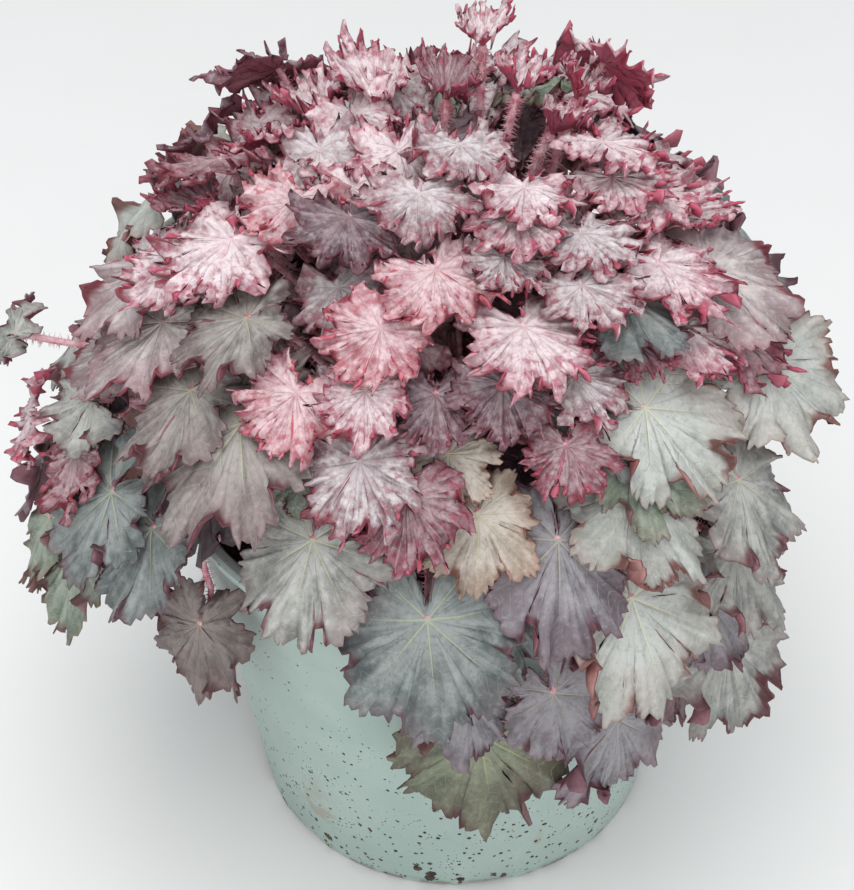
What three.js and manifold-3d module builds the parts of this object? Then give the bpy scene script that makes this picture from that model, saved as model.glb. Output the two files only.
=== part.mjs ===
// Heuchera in a round three-litre nursery pot. Millimetres and degrees, +Z up, origin under the pot.
import * as THREE from 'three';
import { mergeVertices } from 'three/addons/utils/BufferGeometryUtils.js';
import Module from 'manifold-3d';

const wasm = await Module();
wasm.setup();

// ---------------------------------------------------------------- driving dimensions

const SIDES = 32; // facets round the pot
const CLEARANCE = 0.35; // air between pieces that touch on the real plant
const POT = {
  rimRadius: 95, baseRadius: 71, height: 146, wall: 1.8, floor: 2.6,
  lipWidth: 3, lipDrop: 5, collarDrop: 20, collarStep: 0.9, footBevel: 2.2,
  slots: 6, slotTurn: 9, slotWidth: 18, slotHeight: 3.4, slotDepth: 9,
  drains: 4, drainRadius: 5, drainRing: 44,
};
const SOIL = { top: 135, crownRise: 3, crownRadius: 60, rings: 3 };
const BLADE_THICK = 0.9;
const BLADE_BASE = 2.6; // least distance from the stalk to the edge, in the cleft behind it
const STALK = {
  mature: 1.2, young: 1.0, flare: 1.4, neck: 1.6, depth: 11, outerRing: 38, innerRing: 29,
  upright: 38, lastMature: 30, lastYoung: 24, hangBelow: 12,
};
// The way of a low leaf's stalk: over the rim and down to the back of its blade.
const OVER_RIM = {
  straight: 18, inside: 9, insideUp: 8, outside: 3.6, outsideUp: 3.4, behind: 4.5, drop: 7.5,
};
const SHOOTS = { around: 12, ring: 18, radius: 4.8, height: 20, spread: 2.3, fan: 12, rootRise: 4.5 };
const DOME = { middle: [-8, 0, 168], reach: 126, topDrop: 17, fillDrop: 9 };
const ROOM = 2; // radial distance kept between one blade and the next
const POT_ROOM = 5.5; // the same, between the pot and a blade that hangs over its side
const POT_GUARD = [[148, 96.5], [138, 95], [126, 92], [114, 88], [102, 86]]; // height, radius
const GUARD_TURNS = 72; // places round the pot at each of those heights
const STEEPEST = 0.8; // slope limit of a blade against the dome
const FACE_UP = 26; // how far blades on the sides of the dome turn up to the light
const FACE_DRAW = [10, 16]; // spread of that turn from leaf to leaf, along and across the blade
const FILL = { tries: 120, depth: 0.72, spacing: 17, matureBelow: 30, mature: 22, young: 17 };
const SWEEPS = 60; // rounds of moving and tilting while the blades are laid over each other

// Outline of half a blade: degrees from the tip lobe, and reach as a share of the tip's.
const MATURE = [[0, 1], [10, 0.93], [22, 0.72], [34, 0.84], [45, 0.88], [56, 0.76], [68, 0.6],
  [79, 0.72], [91, 0.76], [104, 0.66], [119, 0.53], [134, 0.65], [152, 0.56], [171, 0.14]];
const MATURE_PLAIN = [[0, 1], [21, 0.74], [44, 0.89], [67, 0.61], [90, 0.77], [118, 0.54],
  [140, 0.65], [170, 0.14]];
const YOUNG = [[0, 1], [17, 0.8], [34, 0.95], [52, 0.7], [72, 0.88], [93, 0.66], [115, 0.78],
  [142, 0.62], [168, 0.17]];
const YOUNG_PLAIN = [[0, 1], [22, 0.76], [44, 0.93], [70, 0.67], [96, 0.82], [132, 0.66],
  [165, 0.17]];

// The leaves of the near side, lowest first; each lies over those before it.
// turn: degrees from the front, to the right. rise: degrees above the middle of the dome.
// reach: from the middle of the dome. size: stalk to tip. swing: the tip's turn from straight down.
// kind: m mature, y young and frilled, c young and cupped. lift and roll: extra tilt.
const SKIRT = [
  [8, -29, 112, 35, 8, 'm', 0, 0], [-51, -26, 104, 26, -4, 'm', 10, -30],
  [33, -30, 120, 30, 0, 'm', 10, 0], [45, -25, 118, 22, 20, 'm', 0, 10],
  [50, -18, 122, 32, 10, 'm', 10, 10], [-66, -10, 126, 28, -6, 'm', 10, -10],
  [5, -14, 114, 20, -20, 'm', 8, 0], [18, -14, 116, 22, 25, 'm', 6, 0],
  [47, -10, 114, 22, 27, 'm', 0, 0], [-76, -12, 134, 24, -14, 'm', 10, 0],
  [-77, 6, 130, 15, -20, 'y', 0, 0], [34, 1, 112, 15, 4, 'm', 0, 0],
  [-45, 7, 118, 25, -8, 'm', 10, 0], [-53, 9, 122, 30, -30, 'm', 6, 0],
  [46, 4, 122, 28, 26, 'm', 0, 0], [8, 9, 120, 25, 4, 'm', 0, 0],
  [-1, 8, 124, 33, 6, 'm', 0, 0], [26, 7, 127, 36, 8, 'm', 4, 0],
  [-20, 4, 110, 11, 0, 'm', 0, 0], [17, 17, 122, 31, -10, 'm', 0, 0],
  [-62, 10, 122, 16, 5, 'y', 0, 0], [-62, 19, 120, 22, -60, 'm', 0, 0],
  [47, 15, 123, 26, -12, 'm', 0, 0], [-17, 17, 122, 28, -4, 'm', 0, 0],
  [29, 21, 124, 28, -14, 'm', 6, 0], [6, 22, 120, 22, -4, 'm', 0, 0],
];
const MIDDLE = [
  [-20, 25, 112, 12, 0, 'm', 0, 0], [-62, 28, 118, 18, 0, 'm', 0, 0],
  [59, 27, 128, 32, 30, 'm', 6, 0], [31, 26, 118, 24, 28, 'm', 0, 0],
  [2, 30, 120, 18, -1, 'm', 0, 0], [-4, 25, 124, 18, 0, 'y', 4, 0],
  [-11, 29, 122, 18, -2, 'y', 4, 0], [-30, 30, 127, 38, -58, 'm', 0, 0],
  [-41, 31, 122, 26, -25, 'm', 0, 0], [24, 34, 112, 24, 64, 'm', 0, 0],
  [34, 31, 128, 33, 66, 'm', 0, 0], [19, 30, 126, 13, -9, 'y', 0, 0],
  [-76, 20, 138, 15, -84, 'm', 0, 0], [57, 33, 126, 17, 3, 'y', 0, 0],
  [24, 38, 122, 16, 77, 'y', 0, 0], [-54, 36, 121, 27, -10, 'm', 0, 0],
  [48, 38, 122, 17, 30, 'y', 0, 0], [-22, 36, 128, 17, -7, 'y', 8, 0],
  [0, 38, 112, 13, 0, 'y', 0, 0], [11, 39, 121, 15, -7, 'y', 0, 0],
  [-11, 38, 120, 14, 6, 'y', 0, 0], [36, 41, 120, 13, 5, 'y', 0, 0],
  [-36, 43, 120, 24, -40, 'm', 0, 0], [-62, 42, 117, 28, -5, 'm', 0, 0],
  [60, 42, 113, 26, 4, 'm', 0, 0], [17, 46, 119, 19, 8, 'y', 0, 0],
  [-10, 46, 123, 16, -32, 'y', 4, 0], [-56, 45, 119, 16, 8, 'y', 0, 0],
  [38, 46, 112, 20, 0, 'm', 0, 0],
];
const TOP = [
  [50, 47, 119, 19, -10, 'y', 0, 0], [30, 49, 117, 14, 0, 'y', 0, 0],
  [-49, 51, 118, 20, 4, 'y', 0, 0], [70, 50, 121, 17, -3, 'c', 0, 0],
  [0, 55, 122, 18, 30, 'y', 0, 0], [-66, 52, 125, 15, -20, 'c', 0, 0],
  [17, 56, 113, 12, -12, 'y', 0, 0], [64, 56, 115, 16, -19, 'y', 0, 0],
  [38, 56, 111, 15, -23, 'y', 0, 0], [-43, 61, 121, 16, 23, 'y', 0, 0],
  [-72, 57, 116, 14, 62, 'y', 0, 0], [-25, 61, 110, 15, 35, 'y', 0, 0],
  [62, 60, 109, 14, -42, 'y', 0, 0], [24, 62, 108, 15, -24, 'y', 0, 0],
  [-6, 67, 112, 17, 6, 'y', 0, 0], [30, 65, 112, 15, -35, 'y', 0, 0],
  [71, 64, 114, 16, -26, 'y', 0, 0], [-90, 64, 109, 14, 60, 'y', 0, 0],
  [-95, 63, 124, 14, 0, 'c', 0, 0], [15, 76, 111, 15, -15, 'y', 0, 0],
  [80, 71, 117, 14, 5, 'c', 0, 0], [-56, 74, 104, 14, 71, 'y', 0, 0],
  [-100, 71, 115, 17, -30, 'c', 0, 0], [-93, 81, 114, 17, -87, 'c', 0, 0],
  [63, 88, 114, 15, 87, 'c', 0, 0], [83, 78, 124, 14, 97, 'c', 0, 0],
  [100, 68, 131, 14, 80, 'c', 0, 0], [114, 83, 123, 12, 98, 'c', 0, 0],
];
// A gap in the leaves, through which the lip and the compost show.
const LIP_GAP = { turns: [-42, -10], rises: [-12, 26] };
const FAR_SPAN = 188; // degrees round the pot that the far side's rows take up
// The far side follows a rule: rise, leaves round that half, size, kind, drop into the dome, lift.
const FAR_ROWS = [[-23, 5, 34, 'm', 0, 0], [-3, 6, 38, 'm', 4, 0], [16, 6, 35, 'm', 14, -10],
  [34, 5, 33, 'm', 17, -12], [50, 5, 19, 'y', 22, -12], [65, 4, 17, 'y', 14, -10]];
const YOUNG_SCALE = 1.12;
const SINGLE_SIZE = 24; // a mature leaf this large is a piece of its own
const RINGED_SIZE = 30; // one this large has a ring of points inside its edge
const LOBED_SIZE = 41; // and one this large has the fuller outline
const LOW_RISE = 14; // leaves below this rise are rooted in the outer ring
const CROWN_RISE = 72; // and small leaves over this rise grow from the middle shoot

const COLOURS = {
  pot: 0xa5bbb2, soil: 0x2b211d, shoot: 0x8d4a58,
  leaves: [0x7f8f86, 0x8a8a86, 0x86767a, 0x74857c],
};

// ---------------------------------------------------------------- small helpers

const rad = THREE.MathUtils.degToRad;
const deg = THREE.MathUtils.radToDeg;
const vec = (x, y, z) => new THREE.Vector3(x, y, z);
const CENTRE = vec(...DOME.middle);
const GOLDEN_TURN = 137.508; // degrees from one try to the next, which spreads them evenly

/** A repeatable number from 0 to 1 for the leaf or place n and the use k. */
function draw(n, k) {
  const value = Math.sin(n * 12.9898 + k * 78.233) * 43758.5453;
  return value - Math.floor(value);
}

/** Closed solid from a three.js geometry. */
function solid(geometry) {
  const bare = geometry.clone();
  bare.deleteAttribute('normal');
  bare.deleteAttribute('uv');
  const merged = mergeVertices(bare, 1e-4);
  return new wasm.Manifold(new wasm.Mesh({
    numProp: 3,
    vertProperties: new Float32Array(merged.attributes.position.array),
    triVerts: new Uint32Array(merged.index.array),
  }));
}

/** The solid as a named mesh of one colour. */
function piece(name, body, colour, roughness) {
  const { vertProperties, triVerts } = body.getMesh();
  const geometry = new THREE.BufferGeometry();
  geometry.setAttribute('position', new THREE.BufferAttribute(vertProperties, 3));
  geometry.setIndex(new THREE.BufferAttribute(triVerts, 1));
  geometry.computeVertexNormals();
  const finish = new THREE.MeshStandardMaterial({ color: colour, roughness, metalness: 0 });
  const mesh = new THREE.Mesh(geometry, finish);
  mesh.name = name;
  return mesh;
}

/** A body turned about Z from a profile of [radius, height] points that closes on itself. */
function turned(profile) {
  const points = profile.map(([r, z]) => new THREE.Vector2(r, z));
  const geometry = new THREE.LatheGeometry(points, SIDES);
  geometry.rotateX(Math.PI / 2);
  return solid(geometry);
}

// ---------------------------------------------------------------- pot and compost

const slope = (POT.rimRadius - POT.lipWidth - POT.baseRadius) / POT.height;
const outerWall = (z) => POT.baseRadius + slope * z;
const innerWall = (z) => outerWall(z) - POT.wall;

function pot() {
  const { height, rimRadius, lipDrop, collarDrop, collarStep, footBevel, floor } = POT;
  const collar = height - collarDrop;
  const profile = [
    [0, 0], [outerWall(0) - footBevel, 0], [outerWall(0), footBevel],
    [outerWall(collar), collar], [outerWall(collar) + collarStep, collar + 1],
    [outerWall(height - lipDrop) + collarStep, height - lipDrop],
    [rimRadius - 0.4, height - lipDrop + 0.6], [rimRadius, height - 1.4],
    [rimRadius - 1.2, height], [innerWall(height) + 0.8, height],
    [innerWall(height - 1), height - 1], [innerWall(floor + 3), floor + 3],
    [innerWall(floor) - 3, floor], [0, floor],
  ];
  let body = turned(profile);
  for (let i = 0; i < POT.slots; i++) {
    const turn = rad(POT.slotTurn + (360 / POT.slots) * i - 90);
    const slot = new THREE.BoxGeometry(POT.slotDepth, POT.slotWidth, POT.slotHeight * 2);
    slot.translate(outerWall(0), 0, 0);
    slot.rotateZ(turn);
    body = body.subtract(solid(slot));
  }
  for (let i = 0; i < POT.drains; i++) {
    const turn = rad(POT.slotTurn + (360 / POT.drains) * (i + 0.5) - 90);
    const drain = new THREE.CylinderGeometry(POT.drainRadius, POT.drainRadius, floor * 3, 8);
    drain.rotateX(Math.PI / 2);
    drain.translate(POT.drainRing * Math.cos(turn), POT.drainRing * Math.sin(turn), floor / 2);
    body = body.subtract(solid(drain));
  }
  return piece('pot', body, COLOURS.pot, 0.62);
}

/** Height of the compost at radius r: level, with a low mound round the crown. */
function soilHeight(r) {
  const share = Math.min(r / SOIL.crownRadius, 1);
  return SOIL.top + SOIL.crownRise * 0.5 * (1 + Math.cos(Math.PI * share));
}

function soil(holes) {
  const gap = CLEARANCE;
  const bottom = POT.floor + gap;
  const wall = (z) => innerWall(z) - gap;
  const profile = [[0, bottom], [wall(bottom) - 3.2, bottom], [wall(bottom + 3), bottom + 3],
    [wall(SOIL.top), SOIL.top]];
  for (let i = SOIL.rings - 1; i > 0; i--) {
    const r = (wall(SOIL.top) * i) / SOIL.rings;
    profile.push([r, soilHeight(r)]);
  }
  profile.push([0, soilHeight(0)]);
  const points = profile.map(([r, z]) => new THREE.Vector2(r, z));
  const geometry = new THREE.LatheGeometry(points, SIDES / 2);
  geometry.rotateX(Math.PI / 2);
  const body = solid(geometry);
  return piece('soil', holes.reduce((left, hole) => left.subtract(hole), body), COLOURS.soil, 0.95);
}

// ---------------------------------------------------------------- where the leaves go

const domeReach = (rise) => DOME.reach - DOME.topDrop * Math.sin(rad(Math.max(rise, 0))) ** 2;

/** Direction from the middle of the dome. */
function aim(turn, rise) {
  const [t, r] = [rad(turn), rad(rise)];
  return vec(Math.cos(r) * Math.sin(t), -Math.cos(r) * Math.cos(t), Math.sin(r));
}

function nearLeaves() {
  return [...SKIRT, ...MIDDLE, ...TOP].map(([turn, rise, reach, size, swing, kind, lift, roll]) => (
    { turn, rise, reach, size, swing, kind, lift, roll }));
}

function farLeaves() {
  const leaves = [];
  for (const [rowRise, count, size, kind, drop, lift] of FAR_ROWS) {
    for (let i = 0; i < count; i++) {
      const n = 100 + leaves.length;
      const rise = rowRise + 8 * (draw(n, 2) - 0.5);
      leaves.push({
        turn: 180 + ((i - (count - 1) / 2) * FAR_SPAN) / count + 12 * (draw(n, 1) - 0.5),
        rise,
        reach: domeReach(rise) - drop + 6 * (draw(n, 3) - 0.5),
        size: size * (0.9 + 0.2 * draw(n, 4)),
        swing: 50 * (draw(n, 5) - 0.5),
        kind, lift, roll: 0,
      });
    }
  }
  return leaves;
}

/** Small leaves, low in the dome, wherever no blade of the others lies. */
function inLipGap(turn, rise) {
  const { turns, rises } = LIP_GAP;
  return turn > turns[0] && turn < turns[1] && rise > rises[0] && rise < rises[1];
}

function fillLeaves(others) {
  const placed = others.map((row) => shapeLeaf(row, 0));
  const crowded = Math.cos(rad(FILL.spacing));
  const leaves = [];
  for (let i = 0; i < FILL.tries; i++) {
    const rise = deg(Math.asin(1 - ((i + 0.5) * FILL.depth) / FILL.tries));
    const turn = ((i * GOLDEN_TURN + 180) % 360) - 180;
    const direction = aim(turn, rise);
    if (inLipGap(turn, rise) || placed.some((leaf) => locate(leaf, direction))) continue;
    if (leaves.some((leaf) => direction.dot(aim(leaf.turn, leaf.rise)) > crowded)) continue;
    const n = 200 + leaves.length;
    const mature = rise < FILL.matureBelow;
    leaves.push({
      turn, rise,
      reach: domeReach(rise) - DOME.fillDrop + 5 * draw(n, 3),
      size: (mature ? FILL.mature : FILL.young) * (0.9 + 0.25 * draw(n, 4)),
      swing: 80 * (draw(n, 5) - 0.5),
      kind: mature ? 'm' : 'y', lift: 0, roll: 0,
    });
  }
  return leaves;
}

// ---------------------------------------------------------------- the form of one blade

/** Adds the frame, outline and waves of leaf number n to its row. */
function shapeLeaf(row, n) {
  const [t, r, s] = [rad(row.turn), rad(row.rise), rad(row.swing)];
  const mature = row.kind === 'm';
  const down = vec(Math.sin(r) * Math.sin(t), -Math.sin(r) * Math.cos(t), -Math.cos(r));
  const side = vec(Math.cos(t), Math.sin(t), 0);
  const hanging = row.rise > 0 ? 1 : 1 - row.rise / 60;
  const face = FACE_UP * Math.cos(r) * (mature ? 1 : 0.6) * hanging;
  return {
    ...row,
    size: row.size * (mature ? 1 : YOUNG_SCALE),
    out: aim(row.turn, row.rise),
    down,
    along: down.clone().multiplyScalar(Math.cos(s)).addScaledVector(side, Math.sin(s)),
    across: side.clone().multiplyScalar(Math.cos(s)).addScaledVector(down, -Math.sin(s)),
    outline: mature ? MATURE : YOUNG,
    stretch: -0.04 + 0.16 * draw(n, 11),
    bend: mature ? 0.9 + 0.5 * draw(n, 12) : 0.2 + 0.8 * draw(n, 12),
    cup: row.kind === 'c' ? 0.75 : 0,
    wave: mature ? 1.2 + 0.7 * draw(n, 13) : 1.3 + 0.7 * draw(n, 13),
    waves: mature ? 7 : 6 + Math.floor(3 * draw(n, 14)),
    phase: 2 * Math.PI * draw(n, 15),
    level: 0,
    tiltAlong: Math.tan(rad(row.lift + face * Math.cos(s) + FACE_DRAW[0] * (draw(n, 16) - 0.5))),
    tiltAcross: Math.tan(rad(row.roll - face * Math.sin(s) + FACE_DRAW[1] * (draw(n, 17) - 0.5))),
  };
}

/** Distance from the stalk to the edge at the angle phi (radians) from the tip. */
function edge(leaf, phi, outline = leaf.outline) {
  const angle = Math.abs(((deg(phi) + 540) % 360) - 180);
  const next = outline.findIndex(([a]) => angle <= a);
  if (next < 0) return Math.max(leaf.size * outline.at(-1)[1], BLADE_BASE);
  if (next === 0) return leaf.size * outline[0][1];
  const [[a0, r0], [a1, r1]] = [outline[next - 1], outline[next]];
  const share = r0 + ((r1 - r0) * (angle - a0)) / (a1 - a0);
  return Math.max(leaf.size * share * (1 + leaf.stretch * Math.sin(rad(angle))), BLADE_BASE);
}

/** Height of the blade's own form over its plane: cup, droop and waved margin. */
function form(leaf, x, y) {
  const r = Math.hypot(x, y);
  const phi = Math.atan2(y, x);
  const q = Math.min(r / edge(leaf, phi), 1.3);
  const wave = leaf.wave * q * q * Math.sin(leaf.waves * phi + leaf.phase);
  return leaf.cup * r * (1 - 0.25 * q) - (leaf.bend * r * r) / (2 * leaf.reach) + wave;
}

function bladePoint(leaf, x, y, extra = 0) {
  const height = leaf.level + leaf.tiltAlong * x + leaf.tiltAcross * y + form(leaf, x, y) + extra;
  return leaf.out.clone().multiplyScalar(leaf.reach)
    .addScaledVector(leaf.along, x)
    .addScaledVector(leaf.across, y)
    .multiplyScalar(1 + height / leaf.reach)
    .add(CENTRE);
}

/** Blade coordinates x, y where a direction from the middle of the dome meets the leaf. */
function locate(leaf, direction) {
  const facing = direction.dot(leaf.out);
  if (facing < 0.75) return null;
  const x = (leaf.reach * direction.dot(leaf.along)) / facing;
  const y = (leaf.reach * direction.dot(leaf.across)) / facing;
  if (Math.hypot(x, y) > edge(leaf, Math.atan2(y, x)) + 1.5) return null;
  return { x, y, facing };
}

// ---------------------------------------------------------------- laying blade over blade

/** Test spots over a blade, each with its direction from the middle of the dome. */
function spots(leaf) {
  const list = [[0, 0]];
  const around = 24;
  for (const share of [0.3, 0.55, 0.8, 1]) {
    for (let j = 0; j < around; j++) {
      const phi = (2 * Math.PI * j) / around;
      const r = edge(leaf, phi) * share;
      list.push([r * Math.cos(phi), r * Math.sin(phi)]);
    }
  }
  return list.map(([x, y]) => {
    const direction = leaf.out.clone().multiplyScalar(leaf.reach)
      .addScaledVector(leaf.along, x).addScaledVector(leaf.across, y).normalize();
    return { x, y, direction };
  });
}

/** Directions and distances of the pot's outside, which hanging leaves stay clear of. */
function potSpots() {
  const list = [];
  for (let k = 0; k < GUARD_TURNS; k++) {
    const a = (2 * Math.PI * k) / GUARD_TURNS;
    for (const [z, r] of POT_GUARD) {
      const v = vec(r * Math.cos(a), r * Math.sin(a), z).sub(CENTRE);
      list.push({ direction: v.clone().normalize(), distance: v.length() });
    }
  }
  return list;
}

/** Where one leaf is met along a direction: its coordinates and the slant of the direction. */
const seat = (leaf, x, y, facing) => (
  { leaf, x, y, slant: 1 / facing, own: (leaf.reach + form(leaf, x, y)) / facing });

/** Every spot where an outer blade has to clear an inner one, or the pot. */
function clearances(leaves) {
  const list = [];
  const onPot = potSpots();
  for (const leaf of leaves) leaf.spots = spots(leaf);
  leaves.forEach((outer, j) => {
    for (const { direction, distance } of onPot) {
      const at = locate(outer, direction);
      if (at) list.push({ outer: seat(outer, at.x, at.y, at.facing), need: distance + POT_ROOM });
    }
    for (const inner of leaves.slice(0, j)) {
      const far = (outer.size + inner.size + 6) / 115;
      if (outer.out.dot(inner.out) < Math.cos(far)) continue;
      const pair = (x, y, xi, yi, direction) => list.push({
        outer: seat(outer, x, y, direction.dot(outer.out)),
        inner: seat(inner, xi, yi, direction.dot(inner.out)),
        need: ROOM,
      });
      for (const { x, y, direction } of inner.spots) {
        const at = locate(outer, direction);
        if (at) pair(at.x, at.y, x, y, direction);
      }
      for (const { x, y, direction } of outer.spots) {
        const at = locate(inner, direction);
        if (at) pair(x, y, at.x, at.y, direction);
      }
    }
  });
  return list;
}

const lean = ({ leaf, x, y, slant }) => (
  slant * (leaf.level + leaf.tiltAlong * x + leaf.tiltAcross * y));

function push({ leaf, x, y, slant }, amount) {
  const width = (leaf.size * 0.8) ** 2;
  leaf.level += amount * slant;
  leaf.tiltAlong += (amount * slant * x) / width;
  leaf.tiltAcross += (amount * slant * y) / width;
}

const give = ({ leaf, x, y, slant }) => (
  slant * slant * (1 + (x * x + y * y) / (leaf.size * 0.8) ** 2));

/** Moves and tilts the blades a little at a time until each lies clear over those below. */
function settle(leaves) {
  const list = clearances(leaves);
  for (let sweep = 0; sweep < SWEEPS; sweep++) {
    for (const { outer, inner, need } of list) {
      let short = need - outer.own - lean(outer);
      if (inner) short += inner.own + lean(inner);
      if (short <= 0.01) continue;
      const amount = short / (give(outer) + (inner ? give(inner) : 0));
      push(outer, amount);
      if (inner) push(inner, -amount);
    }
    for (const leaf of leaves) {
      const steep = Math.hypot(leaf.tiltAlong, leaf.tiltAcross);
      if (steep <= STEEPEST) continue;
      leaf.tiltAlong *= STEEPEST / steep;
      leaf.tiltAcross *= STEEPEST / steep;
    }
  }
}

function layLeaves() {
  const others = [...nearLeaves(), ...farLeaves()];
  const rows = [...fillLeaves(others), ...others];
  const leaves = rows.map((row, n) => shapeLeaf(row, n));
  settle(leaves);
  return leaves;
}

// ---------------------------------------------------------------- stalks

/** Roots of the large leaves, evenly spaced round the crown in two rings. */
function rootLargeLeaves(large) {
  for (const [ring, low] of [[STALK.outerRing, true], [STALK.innerRing, false]]) {
    const turnOf = (leaf) => ((leaf.turn % 360) + 360) % 360;
    const members = large.filter((leaf) => leaf.rise < LOW_RISE === low)
      .sort((a, b) => turnOf(a) - turnOf(b));
    const lag = members.reduce((sum, leaf, i) => (
      sum + turnOf(leaf) - (360 * i) / members.length), 0) / members.length;
    members.forEach((leaf, i) => {
      const t = rad((360 * i) / members.length + lag);
      leaf.root = vec(ring * Math.sin(t), -ring * Math.cos(t), SOIL.top - STALK.depth);
    });
  }
}

/** The number of the shoot that a small leaf grows from; 0 is the middle one. */
function shootOf(leaf) {
  if (leaf.rise > CROWN_RISE) return 0;
  const step = 360 / SHOOTS.around;
  return 1 + (Math.round(leaf.turn / step) + SHOOTS.around) % SHOOTS.around;
}

function shootFoot(number) {
  if (number === 0) return vec(0, 0, SOIL.top);
  const t = rad((number - 1) * (360 / SHOOTS.around));
  return vec(SHOOTS.ring * Math.sin(t), -SHOOTS.ring * Math.cos(t), SOIL.top);
}

/** Roots of a shoot's leaves, in its crown over the compost, each towards its own side. */
function rootSmallLeaves(members, foot) {
  const mean = members.reduce((sum, leaf) => sum.add(leaf.out), vec(0, 0, 0))
    .divideScalar(members.length);
  for (const leaf of members) {
    const offset = leaf.out.clone().sub(mean).setZ(0).multiplyScalar(SHOOTS.fan);
    leaf.root = foot.clone().add(offset.clampLength(0, SHOOTS.spread));
    leaf.root.z += SHOOTS.rootRise;
  }
}

/** The stalk's path, from its root up inside the dome to just below the blade. */
function stalkPath(leaf) {
  const end = bladePoint(leaf, 0, 0, -BLADE_THICK - STALK.neck);
  if (end.z < POT.height + STALK.hangBelow) return pathOverRim(leaf, end);
  const way = leaf.out.clone().addScaledVector(leaf.along, 0.25).normalize();
  const last = leaf.kind === 'm' ? STALK.lastMature : STALK.lastYoung;
  const before = end.clone().addScaledVector(way, -last);
  const after = leaf.root.clone();
  after.z += STALK.upright;
  return new THREE.CubicBezierCurve3(leaf.root, after, before, end);
}

/** The path of a low leaf's stalk, which leans out over the rim before it comes down. */
function pathOverRim(leaf, end) {
  const square = leaf.out.clone().addScaledVector(leaf.along, -leaf.tiltAlong)
    .addScaledVector(leaf.across, -leaf.tiltAcross).normalize();
  const last = end.clone().addScaledVector(square, -OVER_RIM.behind);
  last.z += OVER_RIM.drop;
  const outward = vec(end.x, end.y, 0).normalize();
  const over = (r, z) => outward.clone().multiplyScalar(POT.rimRadius + r).setZ(POT.height + z);
  const first = leaf.root.clone();
  first.z += OVER_RIM.straight;
  return new THREE.CatmullRomCurve3([leaf.root, first, over(-OVER_RIM.inside, OVER_RIM.insideUp),
    over(OVER_RIM.outside, OVER_RIM.outsideUp), last, end]);
}

/** Corners of the stalk's section at the share u of its path, in step with the blade's rings. */
function stalkRing(leaf, path, u, radius, sides) {
  const centre = path.getPoint(u);
  const forward = path.getTangent(u);
  const side = vec(Math.cos(rad(leaf.turn)), Math.sin(rad(leaf.turn)), 0);
  side.addScaledVector(forward, -side.dot(forward)).normalize();
  const down = side.clone().cross(forward);
  return ringAngles(sides, Math.PI).map((phi) => {
    const a = phi + rad(leaf.swing);
    return centre.clone().addScaledVector(down, radius * Math.cos(a))
      .addScaledVector(side, radius * Math.sin(a));
  });
}

// ---------------------------------------------------------------- solid leaves

/** Angles of a ring of points, from -spread to spread. */
const ringAngles = (count, spread) => (
  Array.from({ length: count }, (_, i) => spread * ((2 * (i + 0.5)) / count - 1)));

/** Triangles that close a ring of points. */
const cap = (ring) => ring.slice(1, -1).map((b, i) => [ring[0], b, ring[i + 2]]);

/** Triangles between two rings, each a list of { phi, id } by angle, the same way round. */
function bridge(inner, outer) {
  const faces = [];
  const angle = (ring, i) => ring[i % ring.length].phi + 2 * Math.PI * Math.floor(i / ring.length);
  const middle = (ring, i) => (angle(ring, i) + angle(ring, i + 1)) / 2;
  let [i, j] = [0, 0];
  while (i < inner.length || j < outer.length) {
    const outerTurn = i >= inner.length
      || (j < outer.length && middle(outer, j) <= middle(inner, i));
    const [a, b] = [inner[i % inner.length].id, outer[j % outer.length].id];
    if (outerTurn) {
      j += 1;
      faces.push([a, b, outer[j % outer.length].id]);
    } else {
      i += 1;
      faces.push([a, b, inner[i % inner.length].id]);
    }
  }
  return faces;
}

/**
 * One leaf: a blade of even thickness whose underside runs on into its stalk.
 * Both faces of the blade are split into triangles alike.
 */
function leafSolid(leaf) {
  const { outline, inner, sides, steps } = detail(leaf);
  const radius = leaf.kind === 'm' ? STALK.mature : STALK.young;
  const both = (angles) => [...angles.map((angle) => -angle).reverse(), 0, ...angles].map(rad);
  const around = (angles, reach) => angles.map((phi) => (
    { phi, x: reach(phi) * Math.cos(phi), y: reach(phi) * Math.sin(phi) }));
  const rings = [around(ringAngles(sides, Math.PI), () => radius * STALK.flare)];
  if (inner.length) rings.push(around(both(inner), (phi) => 0.5 * edge(leaf, phi, outline)));
  rings.push(around(both(outline.slice(1).map(([angle]) => angle)),
    (phi) => edge(leaf, phi, outline)));

  const points = [];
  const faces = [];
  const place = (ring, drop) => ring.map(({ phi, x, y }) => (
    { phi, id: points.push(bladePoint(leaf, x, y, -drop)) - 1 }));
  const after = (list, i) => list[(i + 1) % list.length];
  const flip = (list) => list.map(([a, b, c]) => [a, c, b]);
  const top = rings.map((ring) => place(ring, 0));
  const under = rings.map((ring) => place(ring, BLADE_THICK));
  for (let i = 1; i < rings.length; i++) {
    faces.push(...bridge(top[i - 1], top[i]), ...flip(bridge(under[i - 1], under[i])));
  }
  const [topRim, underRim] = [top.at(-1), under.at(-1)].map((ring) => ring.map(({ id }) => id));
  topRim.forEach((a, i) => {
    faces.push([a, underRim[i], after(underRim, i)], [a, after(underRim, i), after(topRim, i)]);
  });
  faces.push(...cap(top[0].map(({ id }) => id)));

  const path = stalkPath(leaf);
  const lengths = path.points ? path.points.length - 1 : steps;
  let upper = under[0].map(({ id }) => id);
  for (let step = lengths; step >= 0; step--) {
    const lower = stalkRing(leaf, path, step / lengths, radius, sides)
      .map((point) => points.push(point) - 1);
    lower.forEach((a, i) => {
      faces.push([a, after(lower, i), after(upper, i)], [a, after(upper, i), upper[i]]);
    });
    upper = lower;
  }
  faces.push(...flip(cap(upper)));

  const geometry = new THREE.BufferGeometry().setFromPoints(points);
  geometry.setIndex(faces.flat());
  return solid(geometry);
}

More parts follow.
